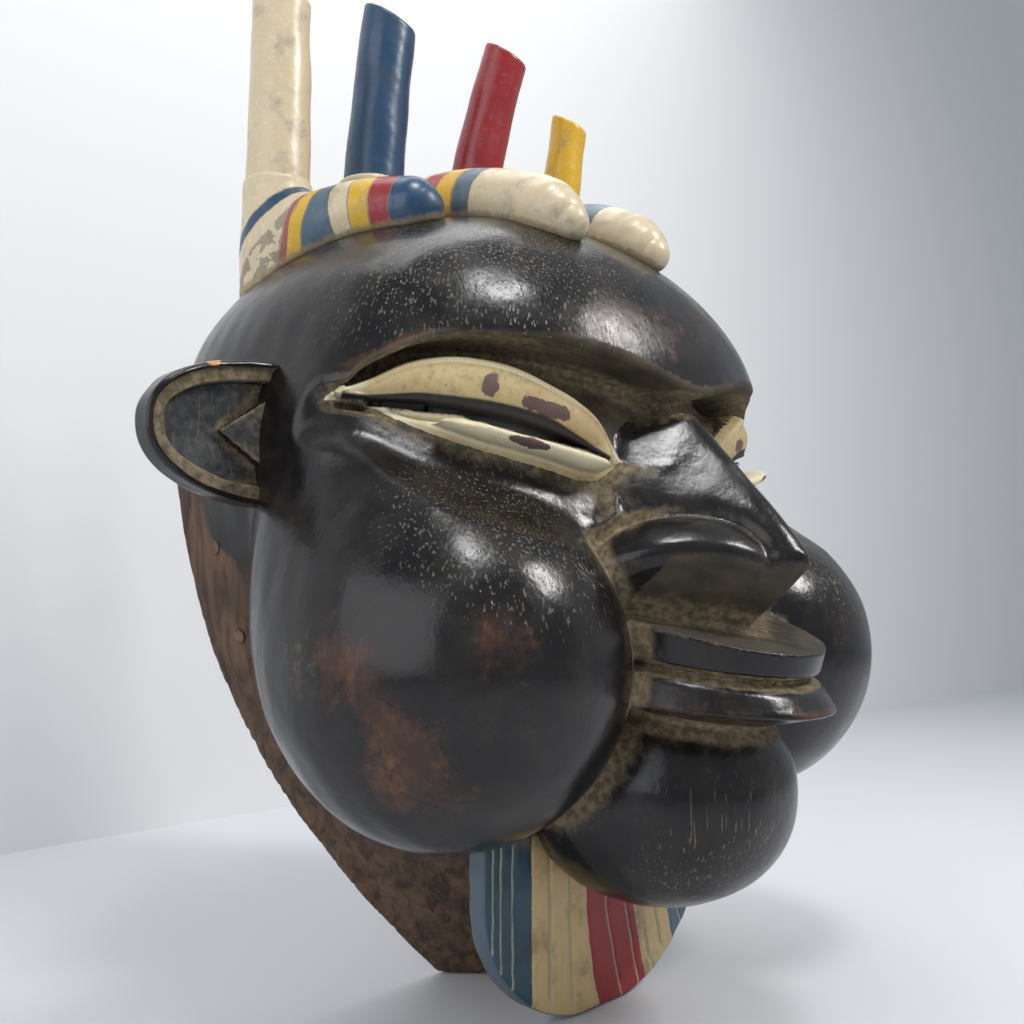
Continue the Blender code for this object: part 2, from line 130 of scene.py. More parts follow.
def waves(p, size, seed):
    """Smooth noise from a few crossed sine waves, about -1 to 1."""
    random = np.random.default_rng(seed)
    total = 0
    for _ in range(5):
        direction = random.normal(size=3)
        direction *= random.uniform(0.7, 1.4) / np.linalg.norm(direction) / size * 2 * math.pi
        phase = random.uniform(0, 6.3)
        total = total + np.sin(p[0] * direction[0] + p[1] * direction[1] + p[2] * direction[2] + phase)
    return total / 3.2


def facets(p, size, seed):
    """Overlapping hollows like a gouge's cuts: distance to the nearest of jittered points."""
    q = np.stack([p[0] / size[0], p[1] / size[1], p[2] / size[2]])
    cell = np.floor(q).astype(np.float32)
    best = np.full(q.shape[1], 9.0, np.float32)
    for dx in (-1, 0, 1):
        for dy in (-1, 0, 1):
            for dz in (-1, 0, 1):
                c = cell + np.array((dx, dy, dz))[:, None]
                code = (c[0] * 127.1 + c[1] * 311.7 + c[2] * 74.7 + seed) % 8191
                jitter = [np.modf(np.abs(np.sin(code + k)) * 43758.5453)[0] for k in (0.3, 1.7, 2.9)]
                gap = sum((q[i] - c[i] - jitter[i]) ** 2 for i in range(3))
                best = np.minimum(best, gap)
    return np.minimum(best, 1.0)


# ---- Meshing ----
def sculpt(name, shape, low, high, voxel, fine=None, detail=None, levels=1):
    """Meshes the zero surface of shape(p), then moves its points onto shape plus detail."""
    low, high = np.array(low, float), np.array(high, float)
    block = 8
    counts = np.ceil((high - low) / voxel / block).astype(int)
    centres = np.stack(np.meshgrid(*[np.arange(n) * block + (block - 1) / 2 for n in counts], indexing="ij"))
    flat = centres.reshape(3, -1)
    coarse = shape([(low[i] + flat[i] * voxel).astype(np.float32) for i in range(3)])
    reach = block * voxel * 0.87 * 1.5 + 2 * voxel
    field = np.repeat(np.repeat(np.repeat(np.where(coarse > 0, 1.0, -1.0).astype(np.float32).reshape(counts),
                                          block, 0), block, 1), block, 2)
    chosen = np.argwhere((np.abs(coarse) < reach).reshape(counts))
    inner = np.stack(np.meshgrid(*[np.arange(block)] * 3, indexing="ij")).reshape(3, -1)
    for start in range(0, len(chosen), 3000):
        part = chosen[start:start + 3000]
        index = part.T[:, :, None] * block + inner[:, None, :]
        p = [(low[i] + index[i] * voxel).astype(np.float32).ravel() for i in range(3)]
        field[tuple(index.reshape(3, -1))] = shape(p) / voxel
    field = np.clip(field, -3, 3)
    grid = openvdb.FloatGrid(3.0)
    grid.copyFromArray(field)
    points, quads = grid.convertToQuads(isovalue=0.0)
    points = low + points * voxel
    mesh = bpy.data.meshes.new(name)
    mesh.from_pydata(points.tolist(), [], quads[:, ::-1].tolist())
    if fine is not None:
        bm = bmesh.new()
        bm.from_mesh(mesh)
        for level in range(levels):
            bm.faces.ensure_lookup_table()
            mid = np.array([face.calc_center_median() for face in bm.faces]).T
            wanted = np.flatnonzero(fine(mid, level))
            edges = {edge for k in wanted for edge in bm.faces[k].edges}
            edges = sorted(edges, key=lambda edge: edge.index)
            bmesh.ops.subdivide_edges(bm, edges=edges, cuts=1, use_grid_fill=True)
        bmesh.ops.triangulate(bm, faces=[face for face in bm.faces if len(face.verts) > 4])
        bm.to_mesh(mesh)
        bm.free()
    count = len(mesh.vertices)
    flat = np.empty(count * 3)
    mesh.vertices.foreach_get("co", flat)
    p = np.ascontiguousarray(flat.reshape(-1, 3).T, dtype=np.float32)

    def total(q):
        return shape(q) + detail(q) if detail else shape(q)

    def slope(q, h):
        parts = []
        for i in range(3):
            ahead, behind = list(q), list(q)
            ahead[i], behind[i] = q[i] + h, q[i] - h
            parts.append((total(ahead) - total(behind)) / (2 * h))
        return np.stack(parts)

    for _ in range(2):
        g = slope(p, voxel * 0.15)
        move = total(list(p)) / np.maximum((g**2).sum(0), 0.2)
        p = p - np.clip(move, -voxel * 0.5, voxel * 0.5) * g
    normals = slope(p, voxel * 0.3)
    normals /= np.maximum(np.linalg.norm(normals, axis=0), 1e-6)
    mesh.vertices.foreach_set("co", (p.T * U).ravel())
    mesh.update()
    volume = bmesh_volume(mesh)
    if volume < 0:
        mesh.flip_normals()
    mesh.shade_smooth()
    mesh.normals_split_custom_set_from_vertices(normals.T.tolist())
    made = bpy.data.objects.new(name, mesh)
    bpy.context.scene.collection.objects.link(made)
    return made, [p[i] for i in range(3)], normals, total


def bmesh_volume(mesh):
    bm = bmesh.new()
    bm.from_mesh(mesh)
    volume = bm.calc_volume(signed=True)
    bm.free()
    return volume


def paint_mask(made, name, r, g, b):
    """Stores three masks on the points for the materials to read."""
    layer = made.data.attributes.new(name, "FLOAT_COLOR", "POINT")
    count = len(made.data.vertices)
    values = np.ones((count, 4), np.float32)
    for k, mask in enumerate((r, g, b)):
        values[:, k] = mask
    layer.data.foreach_set("color", values.ravel())


def hollows(p, normals, total, reach):
    """How closed in a point is: 0 on open surface, 1 deep in a crease."""
    out = [p[i] + normals[i] * reach for i in range(3)]
    return unit(1 - total(out) / reach)


def edges(p, normals, total, reach):
    inside = [p[i] - normals[i] * reach for i in range(3)]
    return unit(1 + total(inside) / reach)


# ---- The head ----
def lean_frame(p):
    """Depth in front of the rim plane, and height along it."""
    y = p[1] - FOOT_HALF_DEPTH
    depth = -(y * math.cos(LEAN) - p[2] * math.sin(LEAN))
    height = p[2] * math.cos(LEAN) + y * math.sin(LEAN)
    return depth, height


def rim_radius_table(inset):
    """Distance from the rim's centre to its outline for every direction, and how square on it is."""
    width, foot = RIM_HALF_WIDTH - inset, FOOT_HALF_WIDTH - 0.6 * inset
    low, top = -FOOT_DROP + inset, RIM_TOP - inset
    share = np.linspace(1, 0, 80)
    x = np.concatenate([[0], width * (1 - (1 - foot / width) * share**RIM_POWER)])
    h = np.concatenate([[low], low + (RIM_CENTRE - low) * (1 - share)]) - RIM_CENTRE
    turn = np.linspace(0, math.pi / 2, 60)[1:]
    x = np.concatenate([x, width * np.cos(turn)])
    h = np.concatenate([h, top * np.sin(turn)])
    angle, radius = np.arctan2(x, -h), np.hypot(x, h)
    grid = np.linspace(0, math.pi, 400)
    table = np.interp(grid, angle, radius)
    square = 1 / np.sqrt(1 + (np.gradient(table, grid) / table) ** 2)
    return grid, table, square


OUTER_RIM = rim_radius_table(0)
INNER_RIM = rim_radius_table(WALL)


def around_rim(x, h, table):
    grid, radii, square = table
    angle = np.arctan2(np.abs(x), -(h - RIM_CENTRE))
    return np.hypot(x, h - RIM_CENTRE), np.interp(angle, grid, radii), np.interp(angle, grid, square)


def side_wall(p):
    """The block's side, from the rim forward, narrowing a little."""
    depth, height = lean_frame(p)
    scale = 1 - (1 - WALL_FRONT_SCALE) * np.clip(depth / WALL_DEPTH, -0.2, 1)
    radius, edge, square = around_rim(p[0], height, OUTER_RIM)
    side = (radius - edge * scale) * square
    return common(common(side, -depth, 0.05), depth - WALL_DEPTH, 0.2)


def hollow(p):
    """The bowl behind the face, with a lobe in each cheek."""
    depth, height = lean_frame(p)
    radius, edge, square = around_rim(p[0], height, INNER_RIM)
    share = np.clip(depth / BOWL_DEPTH, 0, 3)
    size = ((radius / edge) ** BOWL_POWER + share**BOWL_POWER) ** (1 / BOWL_POWER)
    bowl = (size - 1) * np.minimum(edge * square, BOWL_DEPTH)
    q = [np.abs(p[0]), p[1], p[2]]
    return join(bowl, egg(q, (1.28, -1.02, 2.22), (0.66, 0.72, 0.66)), 0.15)


# Height of the brow's edge at each distance from the middle.
BROW = ((0, 3.80), (0.157, 3.815), (0.433, 3.892), (0.772, 3.969), (1.107, 4.013), (1.387, 4.017),
        (1.553, 3.985), (1.704, 3.919), (1.806, 3.85), (1.885, 3.775), (1.95, 3.66), (2.2, 3.2))
RECESS_BACK = 0.72


def brow_recess(p):
    """What is carved away between the brow's ledge and the lower eyelid."""
    x = np.sqrt(p[0] ** 2 + 0.01)
    top = (p[2] - curve(x, BROW)) * 0.9
    low = np.where(x > 0.52, 3.30 + (x - 0.52) * 0.222, 3.30 + (0.52 - x) * 0.16)
    floor = egg(p, (0, 0.10, 3.05), (2.10, 1.81, 1.63))
    volume = common(common(top, (low - p[2]) * 0.95, 0.10), -floor, 0.04)
    return common(volume, p[1] + RECESS_BACK, 0.10)


def eye_bevel(p):
    """What is shaved off the cheek's top, so that it meets the lower eyelid."""
    u, w, v = eye_frame(p)
    bulge = 0.215 * np.clip(1 - (u / 0.90) ** 2, -0.6, 1)
    low = curve(u, LOWER_RIM)
    below = np.maximum(low - v, 0)
    slope = (bulge - 0.02 + 0.50 * below + 4.0 * np.maximum(below - 0.15, 0) ** 2 - w) * 0.86
    return common(common(slope, v - low - 0.05, 0.05), np.abs(u) - 0.95 - w, 0.10)


def eye_frame(p):
    """Along the eye towards the nose, outward, and up, for either eye."""
    q = [-np.abs(p[0]) - EYE_CENTRE[0], p[1] - EYE_CENTRE[1], p[2] - EYE_CENTRE[2]]
    return [sum(q[i] * axis[i] for i in range(3)) for axis in (EYE_ALONG, EYE_OUT, EYE_UP)]


# Outlines of the eye as (along, up), from the outer corner to the nose.
UPPER_RIM = ((-0.9, -0.09), (-0.83, -0.02), (-0.662, 0.095), (-0.514, 0.208), (-0.298, 0.305),
             (-0.1, 0.34), (0.063, 0.347), (0.325, 0.312), (0.525, 0.27), (0.705, 0.19), (0.80, 0.09),
             (0.86, 0.0))
LOWER_RIM = ((-0.9, -0.10), (-0.8, -0.07), (-0.642, -0.075), (-0.501, -0.115), (-0.338, -0.152),
             (-0.068, -0.18), (0.177, -0.185), (0.427, -0.185), (0.65, -0.18), (0.76, -0.14),
             (0.82, -0.07), (0.86, -0.01))
SLIT_TOP = ((-0.8, -0.05), (-0.647, -0.02), (-0.433, 0.024), (-0.215, 0.054), (0.031, 0.082),
            (0.276, 0.088), (0.468, 0.069), (0.642, 0.034), (0.763, 0.0), (0.86, -0.02))
SLIT_LOW = ((-0.8, -0.07), (-0.554, -0.056), (-0.339, -0.03), (-0.189, -0.012), (-0.007, -0.012),
            (0.239, -0.012), (0.483, -0.005), (0.65, 0.0), (0.762, -0.012), (0.86, -0.03))


def eye_bands(u, v):
    """Shares across the upper and lower lids, from the slit out to each rim."""
    top, low = curve(u, UPPER_RIM), curve(u, LOWER_RIM)
    slit_top, slit_low = curve(u, SLIT_TOP), curve(u, SLIT_LOW)
    upper = (v - slit_top) / np.maximum(top - slit_top, 0.02)
    lower = (slit_low - v) / np.maximum(slit_low - low, 0.02)
    return top, low, slit_top, slit_low, upper, lower


def eyelids(p):
    """Both lids: an upper bulge, a lower hollow, a raised rim round them and the slit between."""
    u, w, v = eye_frame(p)
    top, low, _, slit_low, upper, lower = eye_bands(u, v)
    bulge = 0.215 * np.clip(1 - (u / 0.90) ** 2, -0.4, 1)
    across = unit(upper)
    lid = bulge + 0.18 * across * (1 - across) - 0.05 * across
    down = unit(lower)
    under = bulge - 0.055 - 0.035 * np.sin(math.pi * down) + 0.03 * down
    blend = step(v, slit_low - 0.012, slit_low + 0.012)
    height = under + (lid - under) * blend
    ridge = np.exp(-(((v - top + 0.03) / 0.022) ** 2)) + np.exp(-(((v - low - 0.026) / 0.020) ** 2))
    height = height + 0.026 * ridge
    face = (w - height) * 0.8
    outline = np.maximum(v - top, low - v)
    return common(common(common(face, outline, 0.03), np.abs(u) - 0.87, 0.03), -w - 0.5, 0.03)


def eye_slit(p):
    """The opening a wearer looks through, tapering to a groove at the corners."""
    u, w, v = eye_frame(p)
    low = curve(u, SLIT_LOW)
    top = low + 0.012 + 0.50 * (curve(u, SLIT_TOP) - low) * unit(1.25 - (u / 0.85) ** 2)
    gap = np.maximum(v - top, low + 0.004 - v)
    bulge = 0.215 * np.clip(1 - (u / 0.90) ** 2, -0.4, 1)
    open_part = step(u, -0.34, -0.20) * (1 - step(u, 0.48, 0.60))
    floor = bulge - 0.07 - 0.05 * unit(1 - (u / 0.8) ** 2) - 1.6 * open_part
    return common(common(gap, floor - w, 0.01), np.abs(u + 0.03) - 0.80, 0.01)


def nose(p):
    x = np.sqrt(p[0] ** 2 + 0.0049) - 0.035
    side = 0.626 * x - 0.590 * (p[1] + 1.83) + 0.510 * (p[2] - 3.73)
    hip = 0.25 * x + 0.2 * (p[1] + 1.83) + 0.95 * (p[2] - 3.75)
    keel = 0.451 * (np.abs(p[0])) - 0.566 * (p[1] + 2.64) - 0.690 * (p[2] - 2.76)
    valley = 0.93 * (np.abs(p[0]) - 0.62) - 0.30 * (p[1] + 1.72) + 0.2 * (p[2] - 2.9)
    wedge = common(common(side, hip, 0.12), valley, 0.10)
    wing = wing_lobe(p)
    wedge = wedge + 0.035 * np.exp(-((wing / 0.07) ** 2))
    return common(common(join(wedge, wing, 0.015), keel, 0.08), p[1] + 1.2, 0.05)


def wing_lobe(p):
    """The raised leaf of a nostril's wing, lying on the nose's side plane."""
    q = [-np.abs(p[0]) + 0.42, p[1] + 2.05, p[2] - 2.70]
    along = 0.558 * q[0] * 1.0 - 0.817 * q[1] + 0.144 * q[2]
    out = -0.626 * q[0] - 0.590 * q[1] + 0.510 * q[2]
    third = -0.33 * q[0] - 0.375 * q[1] - 0.845 * q[2]
    return egg([along, out, third], (0, 0, 0), (0.50, 0.27, 0.34))


def lip_heights(y):
    return 2.25 + 0.28 * (y + 2.6), 2.077 + 0.20 * (y + 2.55), 1.905 + 0.12 * (y + 2.64)


def lips(p):
    """Two shelves that jut forward, with a groove between them."""
    high, mouth, low = lip_heights(p[1])
    y = p[1] + 1.74
    rise = unit((p[2] - mouth) / (high - mouth))
    fall = unit((mouth - p[2]) / (mouth - low))
    groove = 0.07 * np.exp(-(((p[2] - mouth) / 0.028) ** 2))
    upper = oval(p[0], y, 0.73 + 0.03 * rise, 0.80 + 0.055 * rise) + groove
    upper = common(common(upper, p[2] - high, 0.02), mouth - p[2], 0.02)
    edge = oval(p[0], y, 0.72 + 0.09 * fall, 0.80 + 0.105 * fall) + groove
    bottom = low + 0.33 * np.minimum(oval(p[0], y, 0.80, 0.90), 0)
    lower = common(common(edge, p[2] - mouth, 0.02), bottom - p[2], 0.03)
    return np.minimum(upper, lower)


def masses(p):
    """The rounded masses of the block, before the brow is cut."""
    q = [np.abs(p[0]), p[1], p[2]]
    crown = egg(p, CROWN, CROWN_RADII, CROWN_POWER)
    cheek = egg(q, (1.38, -1.16, 2.19), (1.0, 1.0, 1.0))
    temple = egg(q, (1.24, -0.62, 2.88), (0.95, 0.80, 1.15))
    flank = join(cheek, temple, 0.5)
    muzzle = egg(p, (0, -0.50, 2.60), (1.55, 1.25, 1.55))
    chin = egg(p, (0, -1.54, 1.41), (0.80, 0.81, 0.68), 2.15)
    return crown, flank, muzzle, chin


def head(p):
    crown, flank, muzzle, chin = masses(p)
    block = join(crown, side_wall(p), 0.08)
    top = join(block, muzzle, 0.15)
    full = join(top, flank, 0.09)
    above = step(p[2], 3.0, 3.6)
    full = full + (join(top, flank, 0.4) - full) * above
    full = common(full, -eye_bevel(p), 0.10)
    full = common(full, -brow_recess(p), 0.05)
    full = join(full, chin, 0.05)
    full = join(full, lips(p), 0.03)
    full = join(full, nose(p), 0.05)
    full = join(full, eyelids(p), 0.06)
    full = common(full, -hollow(p), 0.05)
    full = common(full, -eye_slit(p), 0.012)
    depth, _ = lean_frame(p)
    full = common(full, -depth, 0.03)
    return common(full, 0.01 - p[2], 0.02)


def head_detail(p):
    """What the tools left: faint facets outside, gouge cuts in the hollow, a worn unevenness."""
    inside = step(-hollow(p), -0.10, 0.02)
    faint = 0.005 * waves(p, 0.9, 3) + 0.0022 * waves(p, 0.28, 4)
    cuts = np.zeros_like(inside)
    chosen = np.flatnonzero(inside > 0)
    cuts[chosen] = -0.030 * facets([p[i][chosen] for i in range(3)], (0.30, 0.30, 0.55), 5.0)
    return faint * (1 - inside) + cuts * inside


def head_fine(mid, level):
    u, w, v = eye_frame(mid)
    eye = (np.abs(u) < 0.93) & (v > -0.25) & (v < 0.40) & (np.abs(w - 0.12) < 0.30) & (mid[1] < -0.6)
    if level:
        return eye
    p = list(mid)
    mouth = (np.abs(p[0]) < 0.78) & (p[1] < -1.6) & (p[2] > 1.75) & (p[2] < 3.05)
    ledge = (np.abs(p[2] - curve(np.abs(p[0]), BROW)) < 0.10) & (p[1] < -0.6) & (crown_only(p) > -0.15)
    return eye | mouth | ledge


# Each spot is a place, a radius and a strength.
WEAR_SPOTS = (
    ((-2.24, -1.60, 1.94), 0.50, 0.9), ((-2.34, -1.43, 2.32), 0.40, 0.9), ((-1.79, -2.05, 2.34), 0.45, 0.9),
    ((-2.02, -1.71, 1.66), 0.45, 0.9), ((-0.90, -1.90, 2.10), 0.50, 0.5), ((-0.60, -1.75, 4.25), 0.90, 0.8),
    ((0.30, -1.75, 4.10), 0.80, 0.6), ((1.50, -2.00, 2.30), 0.80, 0.7), ((-0.30, -2.30, 3.00), 0.50, 0.5),
    ((-0.60, -2.20, 1.95), 0.45, 0.6), ((0, -2.40, 1.40), 0.70, 0.35),
)
DUST_SPOTS = (
    ((-0.66, -1.75, 3.00), 0.50, 0.40), ((-0.65, -1.80, 2.20), 0.50, 0.30),
    ((-0.90, -1.40, 1.30), 0.55, 0.35), ((-0.60, -1.60, 3.45), 0.40, 0.50),
    ((-2.00, -0.35, 3.20), 0.50, 0.35),
)
# Paint lost from the eye: centre along and up, then both half sizes.
EYE_FLAKES = ((-0.03, 0.19, 0.07, 0.09), (0.33, 0.15, 0.17, 0.06), (0.22, -0.10, 0.20, 0.03))
HEAD_VOXEL, EAR_VOXEL, BEARD_VOXEL, SERPENT_VOXEL, TAIL_VOXEL = 0.0325, 0.0115, 0.0145, 0.0175, 0.0165


def carve_head():
    made, p, normals, total = sculpt("head", head, (-2.3, -2.85, -0.1), (2.3, 1.25, 5.4),
                                     HEAD_VOXEL, head_fine, head_detail, 2)
    tight = hollows(p, normals, total, 0.10)
    wide = hollows(p, normals, total, 0.30)
    # Convex edges: rubbed wear on the wood, and on the eyes a painted highlight.
    corner = np.maximum(edges(p, normals, total, 0.035), 0.8 * edges(p, normals, total, 0.08))
    depth, _ = lean_frame(p)
    crown, flank, muzzle, chin = masses(p)
    wall = side_wall(p)
    inside = step(-hollow(p), -0.03, 0.005)
    flat = np.minimum(np.minimum(crown, flank), np.minimum(muzzle, chin))
    raw = (np.abs(wall) < 0.05) & (flat > 0.03) & (p[2] < 3.6)
    rear = step(p[1], -0.35, 0.1) * step(0.3 - depth, 0, 0.1)
    raw = np.maximum(np.maximum(raw.astype(float), inside), rear * (p[2] < 3.3))
    u, w, v = eye_frame(p)
    top, low, slit_top, slit_low, _, _ = eye_bands(u, v)
    frame_edge = np.minimum(np.minimum(top - v, v - low), (0.88 - np.abs(u)) * 0.5)
    eye = step(frame_edge, -0.02, 0.02) * (np.abs(w - 0.12) < 0.35) * (p[1] < -0.3)
    flakes = sum(unit(1.5 - np.hypot((u - cu) / ru, (v - cv) / rv)) for cu, cv, ru, rv in EYE_FLAKES)
    # The dark band above the slit's opening, on the upper lid's edge, is partly dark paint and partly painted
    # shade under the overhanging lid.
    dark_top = slit_low + 0.02 + (slit_top - slit_low) * unit(1.2 - (u / 0.86) ** 2)
    groove = step(np.minimum(dark_top + 0.008 - v, v - slit_low + 0.012), 0, 0.012) * (np.abs(u) < 0.80) * eye
    sunk = (np.abs(brow_recess(p)) < 0.05) & (p[1] < -0.3) & (p[2] > 3.28) & (nose(p) > 0.03)
    socket = sunk * (1 - eye) * step(4.06 - p[2], 0, 0.05)
    high, _, _ = lip_heights(p[1])
    lip_top = (np.abs(p[2] - high) < 0.03) * (normals[2] > 0.7) * (p[1] < -1.7)
    under_nose = (normals[2] < -0.3) * (p[1] < -1.7) * (p[2] > 2.4) * (p[2] < 2.9) * (np.abs(p[0]) < 0.66)
    matt = np.maximum(np.maximum(socket, lip_top * 0.8), under_nose * 0.8)
    side = np.abs(p[0])
    q = [side, p[1], p[2]]
    wear = sum(amount * near(p, spot, size) for spot, size, amount in WEAR_SPOTS)
    scratch = near(q, (1.5, -1.75, 2.9), 0.9) + 0.5 * near(p, (-0.3, -2.2, 1.1), 0.8)
    scratch = scratch + 0.9 * near(p, (-1.0, -1.0, 4.55), 1.4)
    dust = unit(tight * 1.3 - 0.1) * 0.80 + unit(wide * 1.1 - 0.35) * 0.40
    for spot, size, amount in DUST_SPOTS:
        dust = dust + amount * near([-side, p[1], p[2]], spot, size) * (0.25 + wide)
    paint_mask(made, "mask_a", dust * (1 - inside), corner, unit(wear))
    paint_mask(made, "mask_b", eye, unit(flakes) * eye, matt)
    paint_mask(made, "mask_c", raw, groove, unit(scratch))
    return made


# ---- Ears ----
EAR_ROOT, EAR_REACH, EAR_HALF_HEIGHT = 2.03, 0.80, 0.40
EAR_Y, EAR_Z, EAR_THICKNESS = -0.31, 3.49, 0.17


def ear_outline(p, shrink=0.0):
    """Distance to the ear's rounded D, seen from the front."""
    x = np.abs(p[0]) - EAR_ROOT + 0.10
    z = p[2] - EAR_Z
    reach, half = EAR_REACH + 0.10 - shrink, EAR_HALF_HEIGHT + 0.02 - shrink
    power = 2.25
    size = ((np.abs(x / reach)) ** power + (np.abs(z / half)) ** power) ** (1 / power) + 1e-6
    slope = np.hypot((np.abs(x / reach) / size) ** (power - 1) / reach,
                     (np.abs(z / half) / size) ** (power - 1) / half) + 1e-6
    return (size - 1) / slope


def ear(p):
    front = EAR_Y - EAR_THICKNESS / 2
    out = np.abs(p[0]) - EAR_ROOT
    outline = ear_outline(p)
    bow = 0.05 * unit(out / EAR_REACH) ** 2
    y = p[1] + bow
    plate = common(outline, np.abs(y - EAR_Y) - EAR_THICKNESS / 2, 0.03)
    plate = common(plate, -out - 0.10, 0.02)
    inner = ear_outline(p, 0.035)
    dish = ear_outline(p, 0.115)
    sag = 0.11 + 0.03 * unit(-dish / 0.3)
    well = common(dish, y - (front + sag), 0.03)
    tragus_z = np.abs(p[2] - EAR_Z)
    wedge = (out - 0.32 + tragus_z * 1.35) * 0.6
    crest = y - (front + 0.015) - 0.25 * out
    tragus = common(wedge, -crest, 0.015)
    plate = common(plate, -common(inner, y - (front + 0.035), 0.01), 0.01)
    plate = common(plate, -well, 0.015)
    return np.minimum(plate, common(common(tragus, y - (EAR_Y + 0.05), 0.01), -out - 0.08, 0.01))


def ear_detail(p):
    return 0.003 * waves(p, 0.22, 8)


def carve_ear(side, node):
    low = (EAR_ROOT - 0.18, EAR_Y - 0.3, EAR_Z - 0.55)
    high = (EAR_ROOT + EAR_REACH + 0.1, EAR_Y + 0.3, EAR_Z + 0.55)
    if side < 0:
        low, high = (-high[0], *low[1:]), (-low[0], *high[1:])
    made, p, normals, total = sculpt(f"carved_{node}", ear, low, high, EAR_VOXEL, None, ear_detail)
    out = np.abs(p[0]) - EAR_ROOT
    front = EAR_Y - EAR_THICKNESS / 2
    rim = -ear_outline(p)
    facing = normals[1] < -0.25
    band = step(rim, 0.030, 0.042) * step(0.128 - rim, 0, 0.012) * (p[1] < EAR_Y)
    dish = step(rim, 0.118, 0.13) * (p[1] < EAR_Y + 0.06) * facing
    tight = hollows(p, normals, total, 0.06)
    root = step(0.40 - out, 0, 0.40)
    tragus_edge = np.exp(-(((out - 0.32 + np.abs(p[2] - EAR_Z) * 1.35) / 0.03) ** 2)) * dish
    dust = np.maximum(band * 0.85, unit(tight * 1.1) * 0.5) + root * 0.55 * dish + tragus_edge * 0.5
    dust = dust + 0.4 * step(0.09 - out, 0, 0.09)
    chip = near(p, (side * (EAR_ROOT + 0.42), front, EAR_Z + 0.38), 0.085)
    corner = edges(p, normals, total, 0.03)
    paint_mask(made, "mask_a", dust, np.maximum(corner * 0.6, chip * 1.6), chip * 1.5)
    paint_mask(made, "mask_c", 0, 0, dish * 0.25)
    paint_mask(made, "mask_d", dish, chip, 0)
    return made


# ---- Beard ----
BEARD_CENTRE, BEARD_HALF_WIDTH = -0.04, 1.03
BEARD_Y, BEARD_THICKNESS, BEARD_TOP, BEARD_ARC_CENTRE = -1.04, 0.15, 1.16, 0.80
BEARD_EDGES = (-0.69, -0.19, 0.26, 0.605)
BEARD_GROOVES = (-1.005, -0.94, -0.845, -0.525, -0.345, 0.0, 0.187, 0.335, 0.475, 0.72)


def beard_share(p):
    """The x that a point's band has at the top: the bands on the left fan out downwards."""
    return p[0] - 0.24 * unit(0.6 - p[2]) * step(p[0], -0.5, 0.1)


def beard(p):
    x, z = (p[0] - BEARD_CENTRE) / BEARD_HALF_WIDTH, p[2] - BEARD_ARC_CENTRE
    arc = oval(p[0] - BEARD_CENTRE, z, BEARD_HALF_WIDTH, BEARD_ARC_CENTRE + 0.02)
    outline = np.where(z < 0, arc, (np.abs(x) - 1) * BEARD_HALF_WIDTH)
    outline = common(outline, p[2] - BEARD_TOP, 0.02)
    plate = common(outline, np.abs(p[1] - BEARD_Y) - BEARD_THICKNESS / 2, 0.035)
    share = beard_share(p)
    cut = sum(np.exp(-(((share - g) / 0.011) ** 2)) for g in BEARD_GROOVES)
    cut = cut + 0.5 * sum(np.exp(-(((share - g) / 0.012) ** 2)) for g in BEARD_EDGES)
    front = step(BEARD_Y - p[1], 0, 0.05)
    reach = step(p[2] - (BEARD_ARC_CENTRE - 0.78 * np.sqrt(unit(1 - x**2))), 0.02, 0.10)
    plate = plate + 0.016 * unit(cut) * front * reach
    return common(plate, 0.012 - p[2], 0.01)


def carve_beard():
    low, high = (-1.2, -1.25, -0.1), (1.15, -0.85, 1.3)
    made, p, normals, total = sculpt("carved_beard", beard, low, high, BEARD_VOXEL, None,
                                     lambda q: 0.003 * waves(q, 0.2, 6))
    share = beard_share(p)
    groove = sum(np.exp(-(((share - g) / 0.012) ** 2)) for g in BEARD_GROOVES) * (normals[1] < -0.5)
    # A band along the plate's top, under the chin, where the paint is mixed towards a dull brown.
    chin_gap = step(p[2], 0.72 - 0.30 * (p[0] + 0.2), 1.10 - 0.30 * (p[0] + 0.2))
    corner = edges(p, normals, total, 0.03)
    side_face = step(np.abs(normals[1]), 0.75, 0.4)
    paint_mask(made, "mask_a", unit(groove), corner, side_face)
    paint_mask(made, "mask_s", (share + 1.2) / 2.4, unit(chin_gap), 0)
    return made


# ---- Crest ----
# Where each serpent starts and ends on the crown, its girth and collar, and its tail's girth, top and lean.
SERPENTS = (
    {"rear": (-1.37, 0.64), "front": (-1.03, -0.50), "radius": 0.24, "collar": 0.015,
     "tail": 0.215, "top": 6.98, "lean": (0.00, 0.00)},
    {"rear": (-0.47, 0.79), "front": (-0.42, -1.16), "radius": 0.26, "collar": 0.035,
     "tail": 0.225, "top": 7.13, "lean": (0.05, 0.19)},
    {"rear": (0.47, 0.79), "front": (0.42, -1.16), "radius": 0.26, "collar": 0.035,
     "tail": 0.210, "top": 7.10, "lean": (0.10, 0.50)},
    {"rear": (1.41, 0.68), "front": (1.00, -0.60), "radius": 0.25, "collar": 0.035,
     "tail": 0.175, "top": 6.85, "lean": (0.00, 0.27)},
)
TAIL_BEND = 1.6                         # how late a tail's lean comes in


def on_crown(x, y, lift):
    """A point above the crown's surface, and the surface's direction there."""
    spread = (abs(x - CROWN[0]) / CROWN_RADII[0]) ** CROWN_POWER
    spread += (abs(y - CROWN[1]) / CROWN_RADII[1]) ** CROWN_POWER
    z = CROWN[2] + CROWN_RADII[2] * (1 - spread) ** (1 / CROWN_POWER)
    normal = np.array([(x - CROWN[0]) / CROWN_RADII[0] ** 2, (y - CROWN[1]) / CROWN_RADII[1] ** 2,
                       (z - CROWN[2]) / CROWN_RADII[2] ** 2])
    normal /= np.linalg.norm(normal)
    return np.array([x, y, z]) + normal * lift, normal


